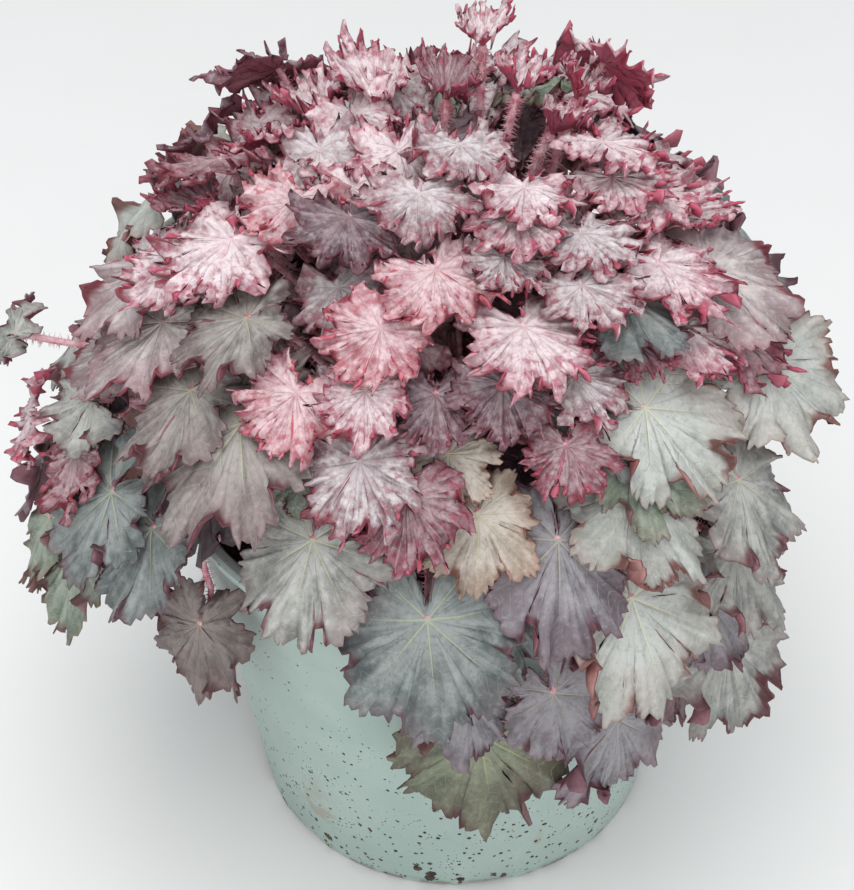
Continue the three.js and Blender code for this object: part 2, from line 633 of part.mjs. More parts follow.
/** Outline, inner ring (degrees from the tip), stalk sides and stalk steps for one leaf. */
function detail(leaf) {
  if (leaf.kind !== 'm') return { outline: YOUNG_PLAIN, inner: [], sides: 3, steps: 2 };
  if (leaf.size > LOBED_SIZE) return { outline: MATURE, inner: [45, 91, 165], sides: 3, steps: 3 };
  const inner = leaf.size < RINGED_SIZE ? [] : [80, 165];
  return { outline: MATURE_PLAIN, inner, sides: 3, steps: 2 };
}

/** The straight foot of a large leaf's stalk, grown by the clearance, to cut its hole. */
function stalkHole(leaf) {
  const { sides, steps } = detail(leaf);
  const path = stalkPath(leaf);
  const radius = STALK.mature + 2 * CLEARANCE;
  const foot = stalkRing(leaf, path, 0, radius, sides);
  const lengths = path.points ? path.points.length - 1 : steps;
  const top = stalkRing(leaf, path, 1 / lengths, radius, sides);
  foot.forEach((p) => { p.z -= CLEARANCE; });
  const faces = [];
  for (let i = 0; i < sides; i++) {
    const next = (i + 1) % sides;
    faces.push([i, next, sides + next], [i, sides + next, sides + i]);
  }
  for (let i = 1; i < sides - 1; i++) {
    faces.push([0, i + 1, i], [sides, sides + i, sides + i + 1]);
  }
  const geometry = new THREE.BufferGeometry().setFromPoints([...foot, ...top]);
  geometry.setIndex(faces.flat());
  return solid(geometry);
}

/** The stubby crown of a shoot, half sunk in the compost. */
function shootCrown(foot) {
  const { radius, height } = SHOOTS;
  const profile = [[0, -height / 2], [radius * 0.7, -height / 2], [radius, 0],
    [radius * 0.75, height * 0.35], [0, height / 2]];
  const points = profile.map(([r, z]) => new THREE.Vector2(r, z));
  const geometry = new THREE.LatheGeometry(points, 6);
  geometry.rotateX(Math.PI / 2);
  geometry.translate(foot.x, foot.y, foot.z);
  return solid(geometry);
}

/** The plain hole that a shoot's crown stands in. */
function crownHole(foot) {
  const radius = SHOOTS.radius + CLEARANCE * 1.5;
  const geometry = new THREE.CylinderGeometry(radius, radius, SHOOTS.height + 2 * CLEARANCE, 6);
  geometry.rotateX(Math.PI / 2);
  geometry.translate(foot.x, foot.y, foot.z);
  return solid(geometry);
}

// ---------------------------------------------------------------- the plant

/** Gathers bodies whose solids cross into one, so that no two pieces share space. */
function fuseCrossing(bodies) {
  const boxes = bodies.map((body) => body.solid.boundingBox());
  const apart = (a, b) => [0, 1, 2].some((k) => a.min[k] > b.max[k] || b.min[k] > a.max[k]);
  const group = bodies.map((_, i) => i);
  const leader = (i) => (group[i] === i ? i : leader(group[i]));
  for (let i = 0; i < bodies.length; i++) {
    for (let j = 0; j < i; j++) {
      if (leader(i) === leader(j) || apart(boxes[i], boxes[j])) continue;
      if (bodies[i].solid.intersect(bodies[j].solid).volume() > 0) group[leader(i)] = leader(j);
    }
  }
  const fused = new Map();
  bodies.forEach((body, i) => {
    const key = leader(i);
    const held = fused.get(key);
    fused.set(key, held ? { names: [...held.names, body.name], solid: held.solid.add(body.solid) }
      : { names: [body.name], solid: body.solid });
  });
  return [...fused.values()];
}

function plant() {
  const leaves = layLeaves();
  const isLarge = (leaf) => leaf.kind === 'm' && leaf.size >= SINGLE_SIZE;
  const large = leaves.filter(isLarge);
  rootLargeLeaves(large);
  const holes = large.map(stalkHole);
  const bodies = large.map((leaf, i) => (
    { name: `leaf_${String(i + 1).padStart(2, '0')}`, solid: leafSolid(leaf) }));
  for (let number = 0; number <= SHOOTS.around; number++) {
    const foot = shootFoot(number);
    const members = leaves.filter((leaf) => !isLarge(leaf) && shootOf(leaf) === number);
    if (!members.length) continue;
    holes.push(crownHole(foot));
    rootSmallLeaves(members, foot);
    const body = members.reduce((held, leaf) => held.add(leafSolid(leaf)), shootCrown(foot));
    bodies.push({ name: `shoot_${number}`, solid: body });
  }
  return { bodies, holes };
}

const { bodies, holes } = plant();
const group = new THREE.Group();
group.add(pot());
group.add(soil(holes));
fuseCrossing(bodies).forEach(({ names, solid: body }, i) => {
  const name = names.join('-');
  const colour = name.startsWith('shoot') ? COLOURS.shoot : COLOURS.leaves[i % 4];
  group.add(piece(name, body, colour, 0.6));
});

export default group;
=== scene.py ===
# %% [markdown]
# # A heuchera in its nursery pot
# Heuchera, or coral bells, is a garden perennial. It makes a low mound of lobed leaves, each
# on its own hairy stalk from a crown at soil level. The old leaves lie outside, broad and
# silvery. The young ones stand in the middle, small, ruffled and pink.
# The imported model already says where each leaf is. These cells give every piece its fine
# form and its finish. All lengths below are in millimetres, made metres when a mesh is filled.

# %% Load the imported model
import math

import bpy
import numpy as np
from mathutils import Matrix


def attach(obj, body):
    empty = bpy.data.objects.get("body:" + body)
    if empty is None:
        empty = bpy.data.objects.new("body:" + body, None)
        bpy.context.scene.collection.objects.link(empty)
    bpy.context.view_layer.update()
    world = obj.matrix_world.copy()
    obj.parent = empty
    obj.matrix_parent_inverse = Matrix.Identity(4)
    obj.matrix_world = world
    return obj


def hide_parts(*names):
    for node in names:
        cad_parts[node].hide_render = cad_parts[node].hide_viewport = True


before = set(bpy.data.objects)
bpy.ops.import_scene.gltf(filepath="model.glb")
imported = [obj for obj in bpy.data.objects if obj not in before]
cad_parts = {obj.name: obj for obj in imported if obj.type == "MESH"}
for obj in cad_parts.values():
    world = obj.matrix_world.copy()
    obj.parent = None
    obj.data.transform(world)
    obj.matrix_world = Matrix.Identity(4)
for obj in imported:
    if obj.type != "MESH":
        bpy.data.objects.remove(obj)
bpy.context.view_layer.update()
MM = 0.001
OWNER = {member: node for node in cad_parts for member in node.split("-")}
print("nodes", len(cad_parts), "named members", len(OWNER))

# %% [markdown]
# ## Camera, floor and light
# The plant is seen from the front and from above, so the camera looks down at it by 40
# degrees. A long lens keeps the pot's sides nearly straight. The floor is one pale sheet,
# and the light is a broad soft panel overhead with a weaker one in front, as under a
# white tent: leaves get bright tops and dark gaps, and no hard shadows.

# %% Camera
camera = bpy.data.objects.new("camera", bpy.data.cameras.new("camera"))
bpy.context.collection.objects.link(camera)
camera.data.lens = 80.9
camera.data.sensor_width = 36
camera.data.clip_end = 50
camera.location = (-0.0103, -0.5125, 0.575)
camera.rotation_euler = (math.radians(50), 0, 0)
bpy.context.scene.camera = camera
print("camera at", tuple(camera.location))


# %% Colours
def shade(red, green, blue, alpha=1.0):
    """A colour given on a 0 to 255 scale, as the linear values that shaders use."""
    def linear(value):
        value = value / 255
        return value / 12.92 if value <= 0.04045 else ((value + 0.055) / 1.055) ** 2.4
    return (linear(red), linear(green), linear(blue), alpha)


print("a mid grey is", shade(128, 128, 128)[0])


# %% A small kit for materials
class Finish:
    """One material, with short ways to add and join its nodes."""

    def __init__(self, name):
        self.material = bpy.data.materials.new(name)
        self.material.use_nodes = True
        self.tree = self.material.node_tree
        self.shader = self.tree.nodes["Principled BSDF"]

    def add(self, kind, *values, out=0, **settings):
        """A node with its settings and inputs in order; gives back one of its outputs."""
        new = self.tree.nodes.new(kind)
        for key, value in settings.items():
            setattr(new, key, value)
        for socket, value in zip(new.inputs, values):
            self.feed(socket, value)
        return new.outputs[out]

    def feed(self, socket, value):
        if isinstance(value, bpy.types.NodeSocket):
            self.tree.links.new(value, socket)
        elif value is not None:
            socket.default_value = value

    def sum(self, operation, *values):
        return self.add("ShaderNodeMath", *values, operation=operation)

    def plus(self, *values):
        return self.sum("ADD", *values)

    def minus(self, *values):
        return self.sum("SUBTRACT", *values)

    def times(self, *values):
        return self.sum("MULTIPLY", *values)

    def most(self, *values):
        return self.sum("MAXIMUM", *values)

    def blend(self, share, first, second):
        """From the first colour to the second as share goes from 0 to 1."""
        new = self.tree.nodes.new("ShaderNodeMix")
        new.data_type = "RGBA"
        for index, value in ((0, share), (6, first), (7, second)):
            self.feed(new.inputs[index], value)
        return new.outputs[2]

    def coat(self, colour, mask, amount, tint):
        """A tint laid over a colour, as thick as the mask times an amount."""
        return self.blend(self.times(mask, amount), colour, tint)

    def step(self, value, start, end, low=0.0, high=1.0):
        """A soft step from low to high while value goes from start to end."""
        return self.add("ShaderNodeMapRange", value, start, end, low, high,
                        interpolation_type="SMOOTHSTEP")

    def place(self):
        return self.add("ShaderNodeTexCoord", out=3)

    def noise(self, where, scale, detail=3.0, rough=0.55, out=0):
        """Cloudy noise; scale is in patches per unit of the coordinates."""
        return self.add("ShaderNodeTexNoise", where, None, scale, detail, rough, out=out)

    def bump(self, height, depth, below=None):
        """Relief of the given depth in metres, on top of another relief if there is one."""
        new = self.tree.nodes.new("ShaderNodeBump")
        for name, value in (("Distance", depth), ("Height", height), ("Normal", below)):
            self.feed(new.inputs[name], value)
        return new.outputs[0]

    def finish(self, colour, roughness, normal=None, **plain):
        self.feed(self.shader.inputs["Base Color"], colour)
        self.feed(self.shader.inputs["Roughness"], roughness)
        self.feed(self.shader.inputs["Normal"], normal)
        for key, value in plain.items():
            self.shader.inputs[key.replace("_", " ")].default_value = value
        return self.material


# %% Floor
def clear():
    """Leaves edit mode and deselects everything, because an operator acts on what is selected."""
    if bpy.context.object and bpy.context.object.mode != "OBJECT":
        bpy.ops.object.mode_set(mode="OBJECT")
    bpy.ops.object.select_all(action="DESELECT")


clear()
bpy.ops.mesh.primitive_plane_add(size=8)
floor = bpy.context.object
floor.name = "studio_floor"
paint = Finish("floor_paint")
speckle = paint.noise(paint.place(), 9.0)
floor.data.materials.append(paint.finish(
    paint.blend(speckle, shade(238, 238, 236), shade(243, 243, 242)), 0.85))
print("floor is", tuple(floor.dimensions))

# %% Lights
def panel(name, place, aim, size, power):
    """A square soft light at a place, turned towards a point."""
    light = bpy.data.objects.new(name, bpy.data.lights.new(name, "AREA"))
    bpy.context.collection.objects.link(light)
    light.data.size = size
    light.data.energy = power
    light.location = place
    way = light.location - type(light.location)(aim)
    light.rotation_euler = way.to_track_quat("Z", "Y").to_euler()


panel("sky_panel", (-0.12, -0.35, 1.7), (0, 0, 0.2), 1.5, 20)
panel("front_panel", (0.05, -1.6, 0.9), (0, 0, 0.15), 1.2, 9)
world = bpy.data.worlds.new("studio")
world.use_nodes = True
world.node_tree.nodes["Background"].inputs["Color"].default_value = shade(235, 238, 242)
world.node_tree.nodes["Background"].inputs["Strength"].default_value = 0.62
bpy.context.scene.world = world
bpy.context.scene.view_settings.view_transform = "Standard"
print("lights", [light.name for light in bpy.data.lights])

# %% [markdown]
# ## The pot
# A grower's pot is vacuum-formed or moulded from thin polypropylene. It tapers, so that
# pots nest, and has a stiffening collar under its rolled lip. Round the foot there are slots
# and in the floor there are holes, which let water out. A turned body is quickest as a
# profile that is spun about the axis; the slots and holes are then cut with a boolean.

# %% Pot sizes
POT = dict(rim=95, base=71, tall=146, wall=1.8, floor=2.6, lip=3, lip_drop=5, collar_drop=20,
           step=0.9, foot=2.2, slots=6, slot_turn=9, slot_wide=18, slot_tall=3.4, slot_deep=9,
           drains=4, drain=5, drain_ring=44)
SLOPE = (POT["rim"] - POT["lip"] - POT["base"]) / POT["tall"]


def outer_wall(z):
    return POT["base"] + SLOPE * z


def inner_wall(z):
    return outer_wall(z) - POT["wall"]


print("wall radius at the lip", outer_wall(POT["tall"]))


# %% Spin a profile
def only(piece):
    clear()
    piece.select_set(True)
    bpy.context.view_layer.objects.active = piece


def apply_all(piece):
    only(piece)
    for modifier in list(piece.modifiers):
        bpy.ops.object.modifier_apply(modifier=modifier.name)


def spun(name, profile, steps):
    """A closed body turned about Z from [radius, height] points that start and end on the axis."""
    clear()
    bpy.ops.mesh.primitive_plane_add(size=0.01)
    piece = bpy.context.object
    piece.name = name
    bpy.ops.object.mode_set(mode="EDIT")
    bpy.ops.mesh.select_all(action="SELECT")
    bpy.ops.mesh.merge(type="CENTER")
    bpy.ops.transform.translate(value=(profile[0][0] * MM, 0, profile[0][1] * MM))
    for (r0, z0), (r1, z1) in zip(profile, profile[1:]):
        move = ((r1 - r0) * MM, 0, (z1 - z0) * MM)
        bpy.ops.mesh.extrude_region_move(TRANSFORM_OT_translate={"value": move})
    bpy.ops.mesh.select_all(action="SELECT")
    bpy.ops.mesh.spin(steps=steps, angle=2 * math.pi, center=(0, 0, 0), axis=(0, 0, 1))
    bpy.ops.mesh.select_all(action="SELECT")
    bpy.ops.mesh.remove_doubles(threshold=1e-6)
    bpy.ops.mesh.normals_make_consistent(inside=False)
    bpy.ops.object.mode_set(mode="OBJECT")
    return piece


# %% Pot body
tall, collar = POT["tall"], POT["tall"] - POT["collar_drop"]
lip = tall - POT["lip_drop"]
pot_profile = [
    (0, 0), (outer_wall(0) - POT["foot"], 0), (outer_wall(0), POT["foot"]),
    (outer_wall(collar), collar), (outer_wall(collar) + POT["step"], collar + 1),
    (outer_wall(lip) + POT["step"], lip), (POT["rim"] - 0.4, lip + 0.6),
    (POT["rim"], tall - 1.4), (POT["rim"] - 1.2, tall), (inner_wall(tall) + 0.8, tall),
    (inner_wall(tall - 1), tall - 1), (inner_wall(POT["floor"] + 3), POT["floor"] + 3),
    (inner_wall(POT["floor"]) - 3, POT["floor"]), (0, POT["floor"])]
pot = spun("nursery_pot", pot_profile, 96)
print("turned pot faces", len(pot.data.polygons))


# %% Slots and drain holes
def cut(piece, cutter):
    """Takes the cutter's space out of the piece and removes the cutter."""
    modifier = piece.modifiers.new("cut", "BOOLEAN")
    modifier.operation = "DIFFERENCE"
    modifier.object = cutter
    apply_all(piece)
    bpy.data.objects.remove(cutter)


def join(pieces, name):
    clear()
    for piece in pieces:
        piece.select_set(True)
    bpy.context.view_layer.objects.active = pieces[0]
    if len(pieces) > 1:
        bpy.ops.object.join()
    pieces[0].name = name
    return pieces[0]


cutters = []
for i in range(POT["slots"]):
    turn = math.radians(POT["slot_turn"] + 360 / POT["slots"] * i - 90)
    clear()
    bpy.ops.mesh.primitive_cube_add(size=1)
    slot = bpy.context.object
    slot.scale = (POT["slot_deep"] * MM, POT["slot_wide"] * MM, POT["slot_tall"] * 2 * MM)
    slot.rotation_euler = (0, 0, turn)
    slot.location = (outer_wall(0) * MM * math.cos(turn), outer_wall(0) * MM * math.sin(turn), 0)
    cutters.append(slot)
for i in range(POT["drains"]):
    turn = math.radians(POT["slot_turn"] + 360 / POT["drains"] * (i + 0.5) - 90)
    clear()
    bpy.ops.mesh.primitive_cylinder_add(
        vertices=24, radius=POT["drain"] * MM, depth=POT["floor"] * 3 * MM,
        location=(POT["drain_ring"] * MM * math.cos(turn), POT["drain_ring"] * MM * math.sin(turn),
                  POT["floor"] / 2 * MM))
    cutters.append(bpy.context.object)
cut(pot, join(cutters, "pot_cutters"))
print("faces with slots and holes", len(pot.data.polygons))

# %% Soften the pot's edges
# A moulded edge is never sharp. The bevel works on edges that turn by more than 28 degrees.
rounding = pot.modifiers.new("rounding", "BEVEL")
rounding.width = 0.45 * MM
rounding.segments = 2
rounding.limit_method = "ANGLE"
rounding.angle_limit = math.radians(28)
apply_all(pot)
only(pot)
bpy.ops.object.shade_smooth_by_angle(angle=math.radians(40))
print("pot faces", len(pot.data.polygons))


# %% Dress a piece
def dress(piece, node, slot_name, *materials):
    """Gives a piece its materials, puts its place in its mesh, and ties it to the frame."""
    only(piece)
    bpy.ops.object.transform_apply(location=True, rotation=True, scale=True)
    if materials:
        piece.data.materials.clear()
        for material in materials:
            piece.data.materials.append(material)
    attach(piece, "root")
    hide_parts(node)


# %% [markdown]
# ### Pot finish
# The plastic is a soft grey green with a satin skin. Years on a bench leave splashed grit,
# thickest near the foot, a little bare light wear along the foot, and a few brown stains.
# A lighter band along the lip is painted highlight. Each is a mask over the base colour, and
# the masks read the pot's own coordinates, with height along Z, so the dirt stays where it fell.

# %% Grit on the pot
plastic = Finish("pot_plastic")
where = plastic.place()
height = plastic.add("ShaderNodeSeparateXYZ", where, out=2)
ragged = plastic.times(plastic.minus(plastic.noise(where, 1300.0, 2.0), 0.5), 0.30)


def grit(cells, fall, patches):
    """Specks: cells per metre, how large they are by height, and the patches that hold them."""
    speck = plastic.plus(plastic.add("ShaderNodeTexVoronoi", where, None, cells), ragged)
    scale, detail, start, end = patches
    patch = plastic.step(plastic.noise(where, scale, detail), start, end)
    return plastic.sum("LESS_THAN", speck, plastic.times(plastic.step(height, *fall), patch))


spots = grit(300.0, (0.125, 0.0, 0.11, 0.25), (150.0, 2.0, 0.34, 0.60))
motes = grit(560.0, (0.14, 0.01, 0.05, 0.20), (90.0, 2.0, 0.40, 0.62))
clots = grit(170.0, (0.032, 0.0, 0.0, 0.40), (60.0, 3.0, 0.42, 0.58))
dirt = plastic.most(plastic.most(spots, motes), clots)
print("grit nodes", len(plastic.tree.nodes))

# %% Pot plastic
cloud = plastic.noise(where, 22.0, 4.0)
green = plastic.blend(plastic.step(cloud, 0.35, 0.7), shade(158, 178, 171), shade(172, 190, 184))
stain = plastic.times(plastic.step(plastic.noise(where, 30.0, 5.0, 0.7), 0.58, 0.68),
                      plastic.step(height, 0.06, 0.004))
# The lighter band along the lip is painted highlight; the lighter band at the foot is wear.
worn = plastic.most(plastic.step(height, 0.1395, 0.1445), plastic.step(height, 0.0035, 0.001))
foot = plastic.times(plastic.step(height, 0.006, 0.0012, 0.0, 0.8),
                     plastic.step(plastic.noise(where, 140.0, 3.0), 0.42, 0.56))
soot = plastic.blend(plastic.step(plastic.noise(where, 210.0), 0.4, 0.6), shade(44, 40, 36),
                     shade(88, 72, 54))
# Painted highlight along the lip and light wear at the foot, both in one paler green.
colour = plastic.coat(green, worn, 0.35, shade(190, 203, 199))
colour = plastic.coat(colour, stain, 0.62, shade(150, 118, 78))
colour = plastic.blend(plastic.most(dirt, foot), colour, soot)
skin = plastic.noise(where, 900.0, 2.0)
relief = plastic.bump(plastic.plus(plastic.times(dirt, 2.0), skin), 0.00012)
dullness = plastic.step(plastic.plus(dirt, plastic.times(cloud, 0.3)), 0.0, 1.0, 0.42, 0.9)
dress(pot, "pot", "pot", plastic.finish(colour, dullness, relief))
print("pot finish nodes", len(plastic.tree.nodes))

# %% [markdown]
# ## The compost
# The pot is filled with bark compost to a finger below the lip, with a low mound round the
# crown. It shows only in the gaps under the leaves, nearly black. One turned body fills the
# pot. Its top is turned in many rings and shaken, and a crumb is modelled once and strewn over it.

# %% Compost body
SOIL_TOP, CROWN_RISE, CROWN_RADIUS, GAP = 135, 3, 60, 0.35


def corners(mesh):
    """The places of a mesh's corners, one row each."""
    values = np.zeros(len(mesh.vertices) * 3)
    mesh.vertices.foreach_get("co", values)
    return values.reshape(-1, 3)


def soil_height(r):
    share = min(r / CROWN_RADIUS, 1)
    return SOIL_TOP + CROWN_RISE * 0.5 * (1 + math.cos(math.pi * share))


soil_rim = inner_wall(SOIL_TOP) - GAP
bottom = POT["floor"] + GAP
soil_profile = [(0, bottom), (inner_wall(bottom) - GAP - 3.2, bottom),
                (inner_wall(bottom + 3) - GAP, bottom + 3), (soil_rim, SOIL_TOP)]
soil_profile += [(soil_rim * i / 20, soil_height(soil_rim * i / 20)) for i in range(19, 0, -1)]
soil_profile.append((0, soil_height(0)))
compost = spun("compost", soil_profile, 72)
only(compost)
at = corners(compost.data)
loose = (at[:, 2] > (SOIL_TOP - 0.5) * MM) & (np.hypot(at[:, 0], at[:, 1]) < (soil_rim - 2) * MM)
bpy.ops.object.mode_set(mode="EDIT")
bpy.ops.mesh.select_mode(type="VERT")
bpy.ops.mesh.select_all(action="DESELECT")
bpy.ops.object.mode_set(mode="OBJECT")
compost.data.vertices.foreach_set("select", loose)
bpy.ops.object.mode_set(mode="EDIT")
bpy.ops.transform.vertex_random(offset=1.6 * MM, uniform=0.2, normal=0.6, seed=4)
bpy.ops.object.mode_set(mode="OBJECT")
print("compost corners shaken", int(loose.sum()))


# %% Crumbs of bark
def draw(n, k):
    """A repeatable number from 0 to 1 for the leaf or place n and the use k."""
    value = math.sin(n * 12.9898 + k * 78.233) * 43758.5453
    return value - math.floor(value)


clear()
bpy.ops.mesh.primitive_ico_sphere_add(subdivisions=1, radius=1)
crumb = bpy.context.object
bpy.ops.object.mode_set(mode="EDIT")
bpy.ops.transform.vertex_random(offset=0.45, uniform=0.6, seed=7)
bpy.ops.object.mode_set(mode="OBJECT")
crumbs = []
for i in range(520):
    piece = crumb.copy()
    piece.data = crumb.data.copy()
    bpy.context.collection.objects.link(piece)
    r = (soil_rim - 3) * math.sqrt(draw(i, 51))
    turn = 2 * math.pi * draw(i, 52)
    size = (0.8 + 2.0 * draw(i, 53) ** 2) * MM
    piece.location = (r * MM * math.cos(turn), r * MM * math.sin(turn), (soil_height(r) + 0.4) * MM)
    piece.rotation_euler = [6.3 * draw(i, 54 + k) for k in range(3)]
    piece.scale = (size * (1 + draw(i, 57)), size, size * 0.7)
    crumbs.append(piece)
bpy.data.objects.remove(crumb)
compost = join([compost, *crumbs], "compost")
print("compost faces", len(compost.data.polygons))

# %% Compost finish
earth = Finish("bark_compost")
where = earth.place()
grain = earth.noise(where, 420.0, 5.0, 0.7)
patch = earth.noise(where, 70.0, 3.0)
tone = earth.blend(earth.step(grain, 0.3, 0.75), shade(24, 21, 21), shade(66, 54, 46))
tone = earth.blend(earth.step(patch, 0.55, 0.75, 0.0, 0.5), tone, shade(96, 76, 58))
dress(compost, "soil", "compost", earth.finish(tone, 0.92, earth.bump(grain, 0.0009)))
print("compost nodes", len(earth.tree.nodes))

# %% [markdown]
# ## Where the leaves lie
# Real leaves find their own places: each new one pushes up through the others and turns its
# face to the light. Here each leaf has a row: its turn round the plant, its rise over the
# middle of the mound, how far out it lies, its size and how it hangs. The blades are then
# laid over each other a little at a time, until each lies clear over the ones below it. The
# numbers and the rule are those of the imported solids, so the fine leaves fall on the plain
# ones.

# %% Leaf rows
# turn, rise, reach, size, swing, kind (m mature, y young, c cupped), lift, roll, finish
SKIRT = [
    (8, -29, 112, 35, 8, "m", 0, 0, "olive"), (-51, -26, 104, 26, -4, "m", 10, -30, "brown"),
    (33, -30, 120, 30, 0, "m", 10, 0, "mauve"), (45, -25, 118, 22, 20, "m", 0, 10, "wine"),
    (50, -18, 122, 32, 10, "m", 10, 10, "silver"), (-66, -10, 126, 28, -6, "m", 10, -10, "green"),
    (5, -14, 114, 20, -20, "m", 8, 0, "mauve"), (18, -14, 116, 22, 25, "m", 6, 0, "mauve"),
    (47, -10, 114, 22, 27, "m", 0, 0, "mauve"), (-76, -12, 134, 24, -14, "m", 10, 0, "green"),
    (-77, 6, 130, 15, -20, "y", 0, 0, "rose"), (34, 1, 112, 15, 4, "m", 0, 0, "green"),
    (-45, 7, 118, 25, -8, "m", 10, 0, "teal"), (-53, 9, 122, 30, -30, "m", 6, 0, "teal"),
    (46, 4, 122, 28, 26, "m", 0, 0, "silver"), (8, 9, 120, 25, 4, "m", 0, 0, "teal"),
    (-1, 8, 124, 33, 6, "m", 0, 0, "teal"), (26, 7, 127, 36, 8, "m", 4, 0, "pale"),
    (-20, 4, 110, 11, 0, "m", 0, 0, "brown"), (17, 17, 122, 31, -10, "m", 0, 0, "mauve"),
    (-62, 10, 122, 16, 5, "y", 0, 0, "crimson"), (-62, 19, 120, 22, -60, "m", 0, 0, "silver"),
    (47, 15, 123, 26, -12, "m", 0, 0, "silver"), (-17, 17, 122, 28, -4, "m", 0, 0, "silver"),
    (29, 21, 124, 28, -14, "m", 6, 0, "pale"), (6, 22, 120, 22, -4, "m", 0, 0, "straw"),
]
MIDDLE = [
    (-20, 25, 112, 12, 0, "m", 0, 0, "green"), (-62, 28, 118, 18, 0, "m", 0, 0, "trim"),
    (59, 27, 128, 32, 30, "m", 6, 0, "pale"), (31, 26, 118, 24, 28, "m", 0, 0, "green"),
    (2, 30, 120, 18, -1, "m", 0, 0, "straw"), (-4, 25, 124, 18, 0, "y", 4, 0, "magenta"),
    (-11, 29, 122, 18, -2, "y", 4, 0, "ash"), (-30, 30, 127, 38, -58, "m", 0, 0, "dusk"),
    (-41, 31, 122, 26, -25, "m", 0, 0, "dusk"), (24, 34, 112, 24, 64, "m", 0, 0, "teal"),
    (34, 31, 128, 33, 66, "m", 0, 0, "pale"), (19, 30, 126, 13, -9, "y", 0, 0, "magenta"),
    (-76, 20, 138, 15, -84, "m", 0, 0, "silver"), (57, 33, 126, 17, 3, "y", 0, 0, "magenta"),
    (24, 38, 122, 16, 77, "y", 0, 0, "ash"), (-54, 36, 121, 27, -10, "m", 0, 0, "trim"),
    (48, 38, 122, 17, 30, "y", 0, 0, "rose"), (-22, 36, 128, 17, -7, "y", 8, 0, "salmon"),
    (0, 38, 112, 13, 0, "y", 0, 0, "plum"), (11, 39, 121, 15, -7, "y", 0, 0, "plum"),
    (-11, 38, 120, 14, 6, "y", 0, 0, "rose"), (36, 41, 120, 13, 5, "y", 0, 0, "magenta"),
    (-36, 43, 120, 24, -40, "m", 0, 0, "dusk"), (-62, 42, 117, 28, -5, "m", 0, 0, "trim"),
    (60, 42, 113, 26, 4, "m", 0, 0, "trim"), (17, 46, 119, 19, 8, "y", 0, 0, "rose"),
    (-10, 46, 123, 16, -32, "y", 4, 0, "salmon"), (-56, 45, 119, 16, 8, "y", 0, 0, "rose"),
    (38, 46, 112, 20, 0, "m", 0, 0, "teal"),
]
TOP = [
    (50, 47, 119, 19, -10, "y", 0, 0, "rose"), (30, 49, 117, 14, 0, "y", 0, 0, "ash"),
    (-49, 51, 118, 20, 4, "y", 0, 0, "rose"), (70, 50, 121, 17, -3, "c", 0, 0, "rose"),
    (0, 55, 122, 18, 30, "y", 0, 0, "salmon"), (-66, 52, 125, 15, -20, "c", 0, 0, "magenta"),
    (17, 56, 113, 12, -12, "y", 0, 0, "ash"), (64, 56, 115, 16, -19, "y", 0, 0, "rose"),
    (38, 56, 111, 15, -23, "y", 0, 0, "ash"), (-43, 61, 121, 16, 23, "y", 0, 0, "salmon"),
    (-72, 57, 116, 14, 62, "y", 0, 0, "crimson"), (-25, 61, 110, 15, 35, "y", 0, 0, "plum"),
    (62, 60, 109, 14, -42, "y", 0, 0, "rose"), (24, 62, 108, 15, -24, "y", 0, 0, "rose"),
    (-6, 67, 112, 17, 6, "y", 0, 0, "ash"), (30, 65, 112, 15, -35, "y", 0, 0, "rose"),
    (71, 64, 114, 16, -26, "y", 0, 0, "rose"), (-90, 64, 109, 14, 60, "y", 0, 0, "rose"),
    (-95, 63, 124, 14, 0, "c", 0, 0, "rose"), (15, 76, 111, 15, -15, "y", 0, 0, "ash"),
    (80, 71, 117, 14, 5, "c", 0, 0, "rose"), (-56, 74, 104, 14, 71, "y", 0, 0, "rose"),
    (-100, 71, 115, 17, -30, "c", 0, 0, "rose"), (-93, 81, 114, 17, -87, "c", 0, 0, "rose"),
    (63, 88, 114, 15, 87, "c", 0, 0, "magenta"), (83, 78, 124, 14, 97, "c", 0, 0, "rose"),
    (100, 68, 131, 14, 80, "c", 0, 0, "rose"), (114, 83, 123, 12, 98, "c", 0, 0, "rose"),
]
# the far side by rule: rise, leaves round that half, size, kind, drop into the dome, lift
FAR_SPAN = 188
FAR_ROWS = [(-23, 5, 34, "m", 0, 0), (-3, 6, 38, "m", 4, 0), (16, 6, 35, "m", 14, -10),
            (34, 5, 33, "m", 17, -12), (50, 5, 19, "y", 22, -12), (65, 4, 17, "y", 14, -10)]
print("rows", len(SKIRT) + len(MIDDLE) + len(TOP))

# %% Numbers of the layout
CENTRE = np.array([-8.0, 0.0, 168.0])
GOLDEN_ANGLE = 137.508
REACH, TOP_DROP, FILL_DROP = 126, 17, 9
ROOM, POT_ROOM, STEEPEST, FACE_UP, SWEEPS = 2, 5.5, 0.8, 26, 60
BLADE, BLADE_BASE = 0.9, 2.6
# half of an outline: degrees from the tip lobe, reach as a share of the tip's
MATURE = [(0, 1), (10, 0.93), (22, 0.72), (34, 0.84), (45, 0.88), (56, 0.76), (68, 0.6),
          (79, 0.72), (91, 0.76), (104, 0.66), (119, 0.53), (134, 0.65), (152, 0.56), (171, 0.14)]
YOUNG = [(0, 1), (17, 0.8), (34, 0.95), (52, 0.7), (72, 0.88), (93, 0.66), (115, 0.78),
         (142, 0.62), (168, 0.17)]


def dome_reach(rise):
    return REACH - TOP_DROP * math.sin(math.radians(max(rise, 0))) ** 2


def aim(turn, rise):
    """Direction from the middle of the mound."""
    t, r = math.radians(turn), math.radians(rise)
    return np.array([math.cos(r) * math.sin(t), -math.cos(r) * math.cos(t), math.sin(r)])


print("reach at the side and the top", dome_reach(0), dome_reach(90))


